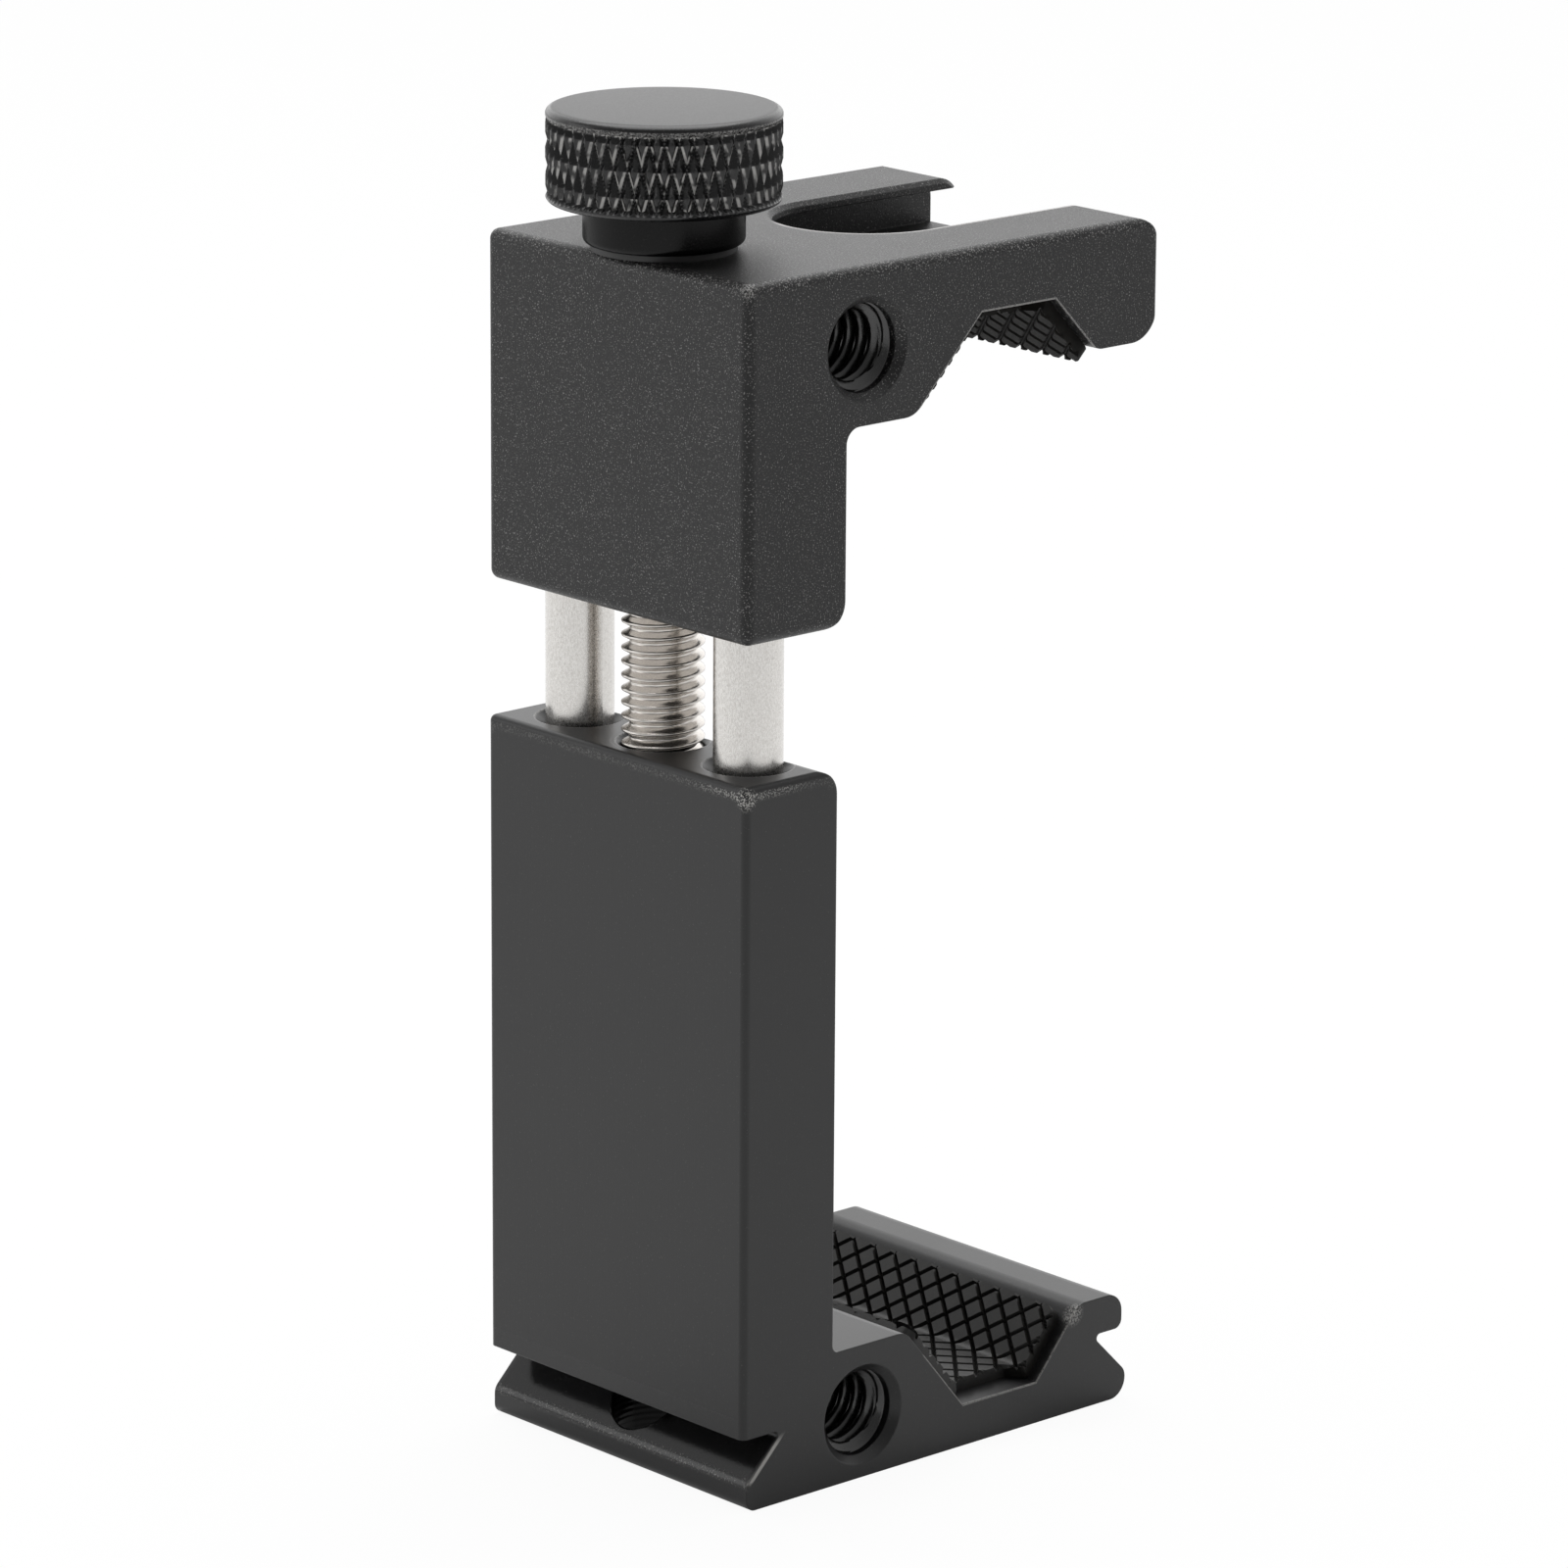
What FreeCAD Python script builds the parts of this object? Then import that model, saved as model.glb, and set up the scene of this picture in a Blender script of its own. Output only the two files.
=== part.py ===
"""Clamping phone mount that goes between a tripod head and a phone.

Two black anodised aluminium jaws, each an L seen from the side, slide apart on two steel rods.
A screw with a knurled knob joins them: it turns in the upper jaw, which holds it lengthwise between
the knob and a snap ring, and it is threaded into the lower jaw. The foot of the lower jaw is a
dovetail plate with a tripod thread. The arm of the upper jaw carries an accessory shoe.

Frame: millimetres, +Z up, X across the width, and +Y from the back of the spine to the tips of the
jaws. The origin is the middle of the plate's flat bottom.
"""
import FreeCAD, Part
import math
import os

import Sketcher

Vector = FreeCAD.Vector
document = FreeCAD.newDocument("phone_mount")

# Driving sizes, each with its alias, its value in millimetres or degrees, and what it is.
SIZES = [
    ("body_width", "28", "width of both jaws along X"),
    ("plate_width", "38", "dovetail plate across its two noses, the common camera plate"),
    ("nose_height", "2", "upright edge of the plate below its slopes"),
    ("neck_height", "5.5", "height at which each slope ends under the overhang"),
    ("nose_round", "1.1", "rounding between the upright edge and the slope"),
    ("foot_back_round", "0.8", "rounding of the plate's bottom back edge"),
    ("foot_front_round", "1.5", "rounding of the plate's bottom front edge"),
    ("neck_round", "0.35", "rounding in the root of the dovetail"),
    ("spine_overhang", "0.4", "how far the spine's back stands outside the plate's nose"),
    ("lower_spine_thickness", "8.65", "lower spine from back to inner face"),
    ("lower_spine_top", "53.75", "height of the lower spine"),
    ("lower_top_round", "1.8", "rounding of the lower spine's inner top edge"),
    ("lower_edge_round", "0.5", "rounding of the lower spine's outer edges"),
    ("shelf_height", "10.15", "height of the flat beside the lower spine"),
    ("shelf_corner_round", "0.6", "rounding in the corner of shelf and spine"),
    ("shelf_edge_round", "1.6", "rounding where the shelf turns down into the groove"),
    ("groove_angle", "50", "slope of the lower groove's sides"),
    ("groove_floor_height", "3.2", "height of the lower groove's floor"),
    ("groove_floor_length", "7.5", "length of the lower groove's floor along Y"),
    ("groove_centre", "6.05", "middle of the lower groove along Y"),
    ("lip_height", "8.3", "top of the lip at the end of the lower jaw"),
    ("lip_setback", "0.45", "how far the lip's nose stays inside the plate's nose"),
    ("lip_top_round", "1.5", "rounding of the lip's upper edges"),
    ("lip_bottom_round", "0.7", "rounding of the lip's lower edge"),
    ("open_gap", "10.1", "gap between the two spines in the pose of the photograph"),
    ("upper_spine_thickness", "9.3", "upper spine from back to inner face"),
    ("upper_height", "25.65", "upper jaw from the bottom of its spine to its top"),
    ("upper_heel_round", "2", "rounding of the upper spine's inner bottom edge"),
    ("upper_edge_round", "0.75", "rounding of the upper jaw's outer edges"),
    ("arm_corner_round", "1.2", "rounding in the corner of arm and spine"),
    ("arm_depth", "11.35", "upper jaw's top down to the arm's underside beside the spine"),
    ("arm_overhang", "1.25", "how far the arm's tip stands out past the plate's front nose"),
    ("shoulder_round", "2.2", "rounding where the arm's underside turns up into the notch"),
    ("notch_angle", "46", "slope of the upper notch's sides"),
    ("notch_web", "4.75", "upper jaw's top down to the notch's ceiling"),
    ("notch_ceiling_length", "7.3", "length of the notch's ceiling along Y"),
    ("notch_centre", "6.45", "middle of the upper notch along Y"),
    ("tip_depth", "9", "upper jaw's top down to the underside of the tip"),
    ("tip_heel_round", "1.4", "rounding where the notch meets the tip's underside"),
    ("tip_bottom_round", "2.5", "rounding of the tip's lower front edge"),
    ("tip_top_round", "2", "rounding of the tip's upper front edge"),
    ("tip_side_round", "0.3", "rounding of the tip's upright edges"),
    ("shoe_opening", "13.2", "gap between the lips of the accessory shoe"),
    ("shoe_channel", "18.8", "width of the channel under the lips"),
    ("shoe_lip", "0.8", "thickness of the lips"),
    ("shoe_channel_height", "2.95", "height of the channel under the lips"),
    ("shoe_centre", "4.3", "centre of the shoe's round end along Y"),
    ("shoe_edge_chamfer", "0.35", "chamfer of the lips' upper edges"),
    ("shoe_mouth_chamfer", "0.5", "chamfer of the channel's walls and floor at the tip"),
    ("axis_inset", "4.6", "spine's back to the line of rods and screw"),
    ("rod_side_inset", "4.9", "jaw's side to the line of each rod"),
    ("rod_diameter", "5", "guide rods"),
    ("rod_seat_depth", "18", "depth to which the rods are pressed into the upper jaw"),
    ("rod_chamfer", "0.5", "chamfer on the rods' lower ends"),
    ("rod_bore_floor", "8", "height of the bottom of the rods' bores in the lower jaw"),
    ("rod_end_clearance", "0.85", "gap below the rods when the jaws are closed"),
    ("running_clearance", "0.05", "radial gap between sliding or turning metal parts"),
    ("seat_clearance", "0.01", "radial gap of the seats where a piece is pressed or glued in"),
    ("axial_play", "0.05", "lengthwise gap of the screw in the upper jaw"),
    ("rod_countersink", "0.75", "width of the countersink round each rod's bore"),
    ("screw_countersink", "0.38", "width of the countersink round the screw's bore"),
    ("screw_diameter", "6", "lead screw over its thread"),
    ("screw_tip_chamfer", "0.6", "chamfer on the lead screw's tip"),
    ("tapped_length", "12", "length of the thread in the lower jaw"),
    ("relief_diameter", "7.3", "bore below the thread, which lets the end ring pass"),
    ("travel_open", "25", "travel of the upper jaw upwards from the pose of the photograph"),
    ("travel_closed", "10", "travel of the upper jaw downwards from that pose"),
    ("ring_groove_diameter", "5", "screw at the bottom of its two ring grooves"),
    ("ring_thickness", "0.8", "both rings"),
    ("ring_slot", "1.8", "gap in each ring"),
    ("end_ring_diameter", "6.7", "outside of the ring at the screw's tip"),
    ("screw_tail", "1.4", "screw's tip beyond the end ring"),
    ("snap_ring_diameter", "7.6", "outside of the ring that holds the screw in the upper jaw"),
    ("counterbore_diameter", "8.2", "recess for the snap ring under the upper jaw"),
    ("counterbore_depth", "2", "depth of that recess"),
    ("screw_passage", "6.4", "clearance hole for the screw through the upper jaw"),
    ("washer_diameter", "10.4", "thrust washer under the knob"),
    ("washer_thickness", "0.4", "thrust washer"),
    ("collar_diameter", "11.5", "plain collar of the knob"),
    ("collar_height", "2.9", "plain collar of the knob"),
    ("collar_chamfer", "0.5", "chamfer of the collar's lower edge"),
    ("head_diameter", "16.7", "knob's head over the knurl"),
    ("head_bevel_height", "0.46", "bevels above and below the knurl, along the axis"),
    ("head_bevel_width", "0.7", "the same bevels, towards the axis"),
    ("knurl_height", "5.85", "knurled band between the bevels"),
    ("knob_bore_depth", "7.5", "depth of the screw in the knob"),
    ("knurl_pitch", "1.093", "width of one knurl diamond round the head"),
    ("knurl_lead_angle", "16", "angle of the knurl's grooves to the knob's axis"),
    ("knurl_depth", "0.32", "depth of the knurl's grooves"),
    ("side_hole_diameter", "6.4", "threaded side holes over their thread, a quarter inch"),
    ("side_hole_chamfer", "0.6", "chamfer of the side holes"),
    ("lower_side_hole_inset", "11.7", "spine's back to the lower side hole"),
    ("lower_side_hole_height", "4.8", "plate's bottom to the lower side hole"),
    ("upper_side_hole_inset", "11.2", "spine's back to the upper side hole"),
    ("upper_side_hole_drop", "5.9", "upper jaw's top down to the upper side hole"),
    ("tripod_hole_diameter", "6.4", "tripod hole over its thread, a quarter inch"),
    ("tripod_hole_chamfer", "0.5", "chamfer of the tripod hole"),
    ("grip_thickness", "1", "rubber grips"),
    ("grip_side_margin", "2", "each end of a grip to the jaw's side"),
    ("grip_near_margin", "1.5", "near end of both grips to the end of their slope"),
    ("lower_grip_margin", "1.2", "far end of the lower grip to the end of its slope"),
    ("upper_grip_margin", "0.7", "far end of the upper grip to the end of its slope"),
    ("grip_corner_round", "1", "rounding of the grips' corners"),
    ("grip_hole_diameter", "7.6", "hole in the lower grip round the tripod hole"),
]

# Places worked out from the sizes, as formulas of a second sheet.
PLACES = [
    ("half_width", "=Sizes.body_width / 2"),
    ("nose_back", "=-Sizes.plate_width / 2"),
    ("nose_front", "=Sizes.plate_width / 2"),
    ("neck_back", "=nose_back + Sizes.neck_height - Sizes.nose_height"),
    ("neck_front", "=nose_front - Sizes.neck_height + Sizes.nose_height"),
    ("back_face", "=nose_back - Sizes.spine_overhang"),
    ("lower_inner_face", "=back_face + Sizes.lower_spine_thickness"),
    ("upper_inner_face", "=back_face + Sizes.upper_spine_thickness"),
    ("axis_line", "=back_face + Sizes.axis_inset"),
    ("groove_start", "=Sizes.groove_centre - Sizes.groove_floor_length / 2"),
    ("groove_end", "=Sizes.groove_centre + Sizes.groove_floor_length / 2"),
    ("groove_run", "=1 / tan(Sizes.groove_angle * 1 deg)"),
    ("shelf_edge", "=groove_start - (Sizes.shelf_height - Sizes.groove_floor_height) * groove_run"),
    ("lip_edge", "=groove_end + (Sizes.lip_height - Sizes.groove_floor_height) * groove_run"),
    ("groove_near_run", "=(Sizes.shelf_height - Sizes.groove_floor_height)"
     " / sin(Sizes.groove_angle * 1 deg) - Sizes.grip_near_margin"),
    ("groove_far_run", "=(Sizes.lip_height - Sizes.groove_floor_height)"
     " / sin(Sizes.groove_angle * 1 deg) - Sizes.lower_grip_margin"),
    ("nose_radius", "=min(Sizes.nose_round; 2.2 * (Sizes.nose_height - Sizes.foot_front_round))"),
    ("lip_nose", "=nose_front - Sizes.lip_setback"),
    ("lip_top_radius", "=min(Sizes.lip_top_round; 0.45 * (lip_nose - lip_edge))"),
    ("upper_bottom", "=Sizes.lower_spine_top + Sizes.open_gap"),
    ("upper_top", "=upper_bottom + Sizes.upper_height"),
    ("arm_underside", "=upper_top - Sizes.arm_depth"),
    ("arm_tip", "=nose_front + Sizes.arm_overhang"),
    ("notch_ceiling", "=upper_top - Sizes.notch_web"),
    ("tip_underside", "=upper_top - Sizes.tip_depth"),
    ("notch_start", "=Sizes.notch_centre - Sizes.notch_ceiling_length / 2"),
    ("notch_end", "=Sizes.notch_centre + Sizes.notch_ceiling_length / 2"),
    ("notch_run", "=1 / tan(Sizes.notch_angle * 1 deg)"),
    ("shoulder", "=notch_start - (notch_ceiling - arm_underside) * notch_run"),
    ("tip_heel", "=notch_end + (notch_ceiling - tip_underside) * notch_run"),
    ("tip_heel_radius", "=min(Sizes.tip_heel_round; 0.4 * (arm_tip - tip_heel))"),
    ("tip_bottom_radius", "=min(Sizes.tip_bottom_round; 0.55 * (arm_tip - tip_heel))"),
    ("notch_near_run", "=(notch_ceiling - arm_underside) / sin(Sizes.notch_angle * 1 deg)"
     " - Sizes.grip_near_margin"),
    ("notch_far_run", "=(notch_ceiling - tip_underside) / sin(Sizes.notch_angle * 1 deg)"
     " - Sizes.upper_grip_margin"),
    ("lip_underside", "=upper_top - Sizes.shoe_lip"),
    ("lower_side_hole_y", "=back_face + Sizes.lower_side_hole_inset"),
    ("upper_side_hole_y", "=back_face + Sizes.upper_side_hole_inset"),
    ("upper_side_hole_z", "=upper_top - Sizes.upper_side_hole_drop"),
    ("side_hole_radius", "=Sizes.side_hole_diameter / 2"),
    ("rod_radius", "=Sizes.rod_diameter / 2"),
    ("rod_bore_radius", "=rod_radius + Sizes.running_clearance"),
    ("rod_line", "=half_width - Sizes.rod_side_inset"),
    ("rod_top", "=upper_bottom + Sizes.rod_seat_depth"),
    ("rod_bottom", "=Sizes.rod_bore_floor + Sizes.travel_closed + Sizes.rod_end_clearance"),
    ("screw_radius", "=Sizes.screw_diameter / 2"),
    ("screw_bore_radius", "=screw_radius + Sizes.running_clearance"),
    ("ring_groove_radius", "=Sizes.ring_groove_diameter / 2"),
    ("thread_bottom", "=Sizes.lower_spine_top - Sizes.tapped_length"),
    ("end_ring_top", "=thread_bottom - Sizes.travel_open - Sizes.axial_play"),
    ("end_ring_bottom", "=end_ring_top - Sizes.ring_thickness"),
    ("screw_tip", "=end_ring_bottom - Sizes.screw_tail"),
    ("counterbore_top", "=upper_bottom + Sizes.counterbore_depth"),
    ("snap_ring_top", "=counterbore_top - Sizes.axial_play"),
    ("snap_ring_bottom", "=snap_ring_top - Sizes.ring_thickness"),
    ("washer_top", "=upper_top + Sizes.washer_thickness"),
    ("collar_bottom", "=washer_top + Sizes.axial_play"),
    ("head_bottom", "=collar_bottom + Sizes.collar_height"),
    ("head_top", "=head_bottom + Sizes.knurl_height + 2 * Sizes.head_bevel_height"),
    ("screw_end", "=collar_bottom + Sizes.knob_bore_depth"),
]


def fill_sheet(name, rows):
    """Makes a spreadsheet with one aliased cell for each row of an alias and its content."""
    sheet = document.addObject("Spreadsheet::Sheet", name)
    for number, row in enumerate(rows, start=1):
        cell = "B" + str(number)
        sheet.set("A" + str(number), row[0])
        sheet.set(cell, row[1])
        sheet.setAlias(cell, row[0])
        if len(row) > 2:
            sheet.set("C" + str(number), row[2])
    return sheet


sizes = fill_sheet("Sizes", SIZES)
document.recompute()
places = fill_sheet("Places", PLACES)
document.recompute()


def size(alias):
    """Value of a driving size."""
    return float(sizes.get(alias))


def place(alias):
    """Value of a worked-out place."""
    return float(places.get(alias))


def new_body(label):
    """An empty body."""
    body = document.addObject("PartDesign::Body", label)
    body.Label = label
    return body


def new_sketch(body, label, plane, across="0", upward="0", outward="0"):
    """A sketch on one of the body's origin planes, shifted by three formulas in its own axes."""
    sketch = body.newObject("Sketcher::SketchObject", label)
    support = [feature for feature in body.Origin.OriginFeatures if feature.Role == plane][0]
    sketch.AttachmentSupport = [(support, "")]
    sketch.MapMode = "FlatFace"
    for axis, formula in (("x", across), ("y", upward), ("z", outward)):
        sketch.setExpression("AttachmentOffset.Base." + axis, formula)
    document.recompute()
    return sketch


def pin_point(sketch, curve, end, name, across, upward):
    """Ties the end of a curve to its place by two named dimensions, or to an axis where zero."""
    for kind, axis, formula in (("DistanceX", -2, across), ("DistanceY", -1, upward)):
        if formula == "0":
            sketch.addConstraint(Sketcher.Constraint("PointOnObject", curve, end, axis))
            continue
        value = float(sketch.evalExpression(formula))
        index = sketch.addConstraint(Sketcher.Constraint(kind, -1, 1, curve, end, value))
        dimension = name + ("_across" if kind == "DistanceX" else "_up")
        sketch.renameConstraint(index, dimension)
        sketch.setExpression("Constraints." + dimension, formula)


def draw_outline(sketch, corners):
    """Draws a closed outline of straight edges through corners given by two formulas each."""
    points = []
    for across, upward in corners:
        x_value = float(sketch.evalExpression(across))
        y_value = float(sketch.evalExpression(upward))
        points.append(Vector(x_value, y_value, 0))
    count = len(points)
    lines = [Part.LineSegment(points[i], points[(i + 1) % count]) for i in range(count)]
    sketch.addGeometry(lines, False)
    for i in range(count):
        sketch.addConstraint(Sketcher.Constraint("Coincident", i, 2, (i + 1) % count, 1))
    for i, (across, upward) in enumerate(corners):
        pin_point(sketch, i, 1, "corner_" + str(i + 1), across, upward)


def draw_circle(sketch, name, across, upward, diameter):
    """Draws a circle whose centre and diameter are formulas."""
    centre = Vector(float(sketch.evalExpression(across)), float(sketch.evalExpression(upward)), 0)
    radius = float(sketch.evalExpression(diameter)) / 2
    curve = sketch.addGeometry(Part.Circle(centre, Vector(0, 0, 1), radius), False)
    pin_point(sketch, curve, 3, name, across, upward)
    index = sketch.addConstraint(Sketcher.Constraint("Diameter", curve, 2 * radius))
    sketch.renameConstraint(index, name + "_diameter")
    sketch.setExpression("Constraints." + name + "_diameter", diameter)


def draw_open_slot(sketch, width, centre, end):
    """Draws a slot along +Y with a half-round end at the origin side and a straight far end."""
    half = float(sketch.evalExpression(width)) / 2
    middle = float(sketch.evalExpression(centre))
    far = float(sketch.evalExpression(end))
    circle = Part.Circle(Vector(0, middle, 0), Vector(0, 0, 1), half)
    left = sketch.addGeometry(Part.LineSegment(Vector(-half, far, 0), Vector(-half, middle, 0)), False)
    arc = sketch.addGeometry(Part.ArcOfCircle(circle, math.pi, 2 * math.pi), False)
    right = sketch.addGeometry(Part.LineSegment(Vector(half, middle, 0), Vector(half, far, 0)), False)
    close = sketch.addGeometry(Part.LineSegment(Vector(half, far, 0), Vector(-half, far, 0)), False)
    sketch.addConstraint(Sketcher.Constraint("Tangent", left, 2, arc, 1))
    sketch.addConstraint(Sketcher.Constraint("Tangent", arc, 2, right, 1))
    sketch.addConstraint(Sketcher.Constraint("Coincident", right, 2, close, 1))
    sketch.addConstraint(Sketcher.Constraint("Coincident", close, 2, left, 1))
    sketch.addConstraint(Sketcher.Constraint("Vertical", left))
    sketch.addConstraint(Sketcher.Constraint("Horizontal", close))
    pin_point(sketch, arc, 3, "centre", "0", centre)
    index = sketch.addConstraint(Sketcher.Constraint("Diameter", arc, 2 * half))
    sketch.renameConstraint(index, "width")
    sketch.setExpression("Constraints.width", width)
    index = sketch.addConstraint(Sketcher.Constraint("DistanceY", -1, 1, left, 1, far))
    sketch.renameConstraint(index, "end")
    sketch.setExpression("Constraints.end", end)


def extrude(body, kind, label, sketch, length, symmetric=False, reverse=False):
    """Pads or pockets a sketch by a formula, and checks that it adds or removes material."""
    before = body.Shape.Volume if body.Tip else 0.0
    feature = body.newObject("PartDesign::" + kind, label)
    feature.Profile = sketch
    feature.setExpression("Length", length)
    feature.SideType = "Symmetric" if symmetric else "One side"
    feature.Reversed = reverse
    document.recompute()
    check_change(body, kind == "Pad", before, label)
    return feature


def turn(body, kind, label, sketch, axis="V_Axis"):
    """Revolves a sketch into a solid or a cut, and checks that it adds or removes material."""
    before = body.Shape.Volume if body.Tip else 0.0
    feature = body.newObject("PartDesign::" + kind, label)
    feature.Profile = sketch
    feature.ReferenceAxis = (sketch, [axis])
    feature.Angle = 360.0
    document.recompute()
    check_change(body, kind == "Revolution", before, label)
    return feature


def check_change(body, adds, before, label):
    """Stops where a feature left the volume as it was or changed it the wrong way."""
    change = body.Shape.Volume - before
    if (change <= 0) if adds else (change >= 0):
        raise ValueError(label + " changes the volume by " + str(change))


def round_edges(body, kind, label, formula, picked):
    """Rounds or chamfers the edges of the body's tip for which the picked test holds."""
    base = body.Tip
    names = ["Edge" + str(i) for i, edge in enumerate(base.Shape.Edges, start=1) if picked(edge)]
    if not names:
        raise ValueError(label + " finds no edge")
    feature = body.newObject("PartDesign::" + kind, label)
    feature.Base = (base, names)
    feature.setExpression("Radius" if kind == "Fillet" else "Size", formula)
    document.recompute()
    return feature


def near(value, target, room=0.001):
    """Whether two lengths are the same."""
    return abs(value - target) < room


def crosswise_at(*corners):
    """A test for edges that run along X through one of the given corners of the side view."""
    def picked(edge):
        ends = [vertex.Point for vertex in edge.Vertexes]
        if len(ends) != 2 or near(ends[0].x, ends[1].x):
            return False
        for y_place, z_place in corners:
            if all(near(end.y, y_place) and near(end.z, z_place) for end in ends):
                return True
        return False
    return picked


def drill(body, label, plane, across, upward, outward, axis, steps):
    """Turns a stepped hole: steps are pairs of radius and place along the hole, as formulas."""
    sketch = new_sketch(body, label + "_section", plane, across, upward, outward)
    if axis == "V_Axis":
        corners = [("0", steps[0][1])] + list(steps) + [("0", steps[-1][1])]
    else:
        flipped = [(along, radius) for radius, along in steps]
        corners = [(flipped[0][0], "0")] + flipped + [(flipped[-1][0], "0")]
    draw_outline(sketch, corners)
    return turn(body, "Groove", label, sketch, axis)


def side_hole(body, label, hole_y, hole_z):
    """A threaded hole through the whole width along X, chamfered at both mouths."""
    mouth = "Places.half_width + Sizes.side_hole_chamfer"
    wide = "Places.side_hole_radius + 2 * Sizes.side_hole_chamfer"
    plain = "Places.half_width - Sizes.side_hole_chamfer"
    steps = [(wide, "-(" + mouth + ")"),
             ("Places.side_hole_radius", "-(" + plain + ")"),
             ("Places.side_hole_radius", plain),
             (wide, mouth)]
    drill(body, label, "XZ_Plane", "0", hole_z, "-(" + hole_y + ")", "H_Axis", steps)


def envelope(label, bottom, top, front, rounding, round_bottom, front_rounding):
    """The outer block of a jaw, with the rounded edges of its back, top, bottom and front."""
    body = new_body(label)
    sketch = new_sketch(body, label + "_plan", "XY_Plane", outward=bottom)
    draw_outline(sketch, [("-Places.half_width", "Places.back_face"),
                          ("Places.half_width", "Places.back_face"),
                          ("Places.half_width", front),
                          ("-Places.half_width", front)])
    extrude(body, "Pad", label + "_block", sketch, top + " - (" + bottom + ")")
    levels = [float(sizes.evalExpression(top))]
    if round_bottom:
        levels.append(float(sizes.evalExpression(bottom)))
    far = float(sizes.evalExpression(front))
    back = place("back_face")

    def outer(edge):
        """Edges of the back and of the rounded ends, but for the front."""
        middle = edge.BoundBox.Center
        upright = near(middle.y, back) and near(abs(middle.x), place("half_width"))
        level = any(near(middle.z, height) for height in levels) and not near(middle.y, far)
        return upright or level

    round_edges(body, "Fillet", label + "_outer_rounding", rounding, outer)
    if front_rounding:
        round_edges(body, "Fillet", label + "_front_rounding", front_rounding,
                    lambda edge: near(edge.BoundBox.YMin, far) and edge.BoundBox.ZLength > 2)
    return body


def common(label, base, tool):
    """The part that two bodies share, as one finished piece."""
    piece = document.addObject("Part::Common", label)
    piece.Label = label
    piece.Base = base
    piece.Tool = tool
    return piece


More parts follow.
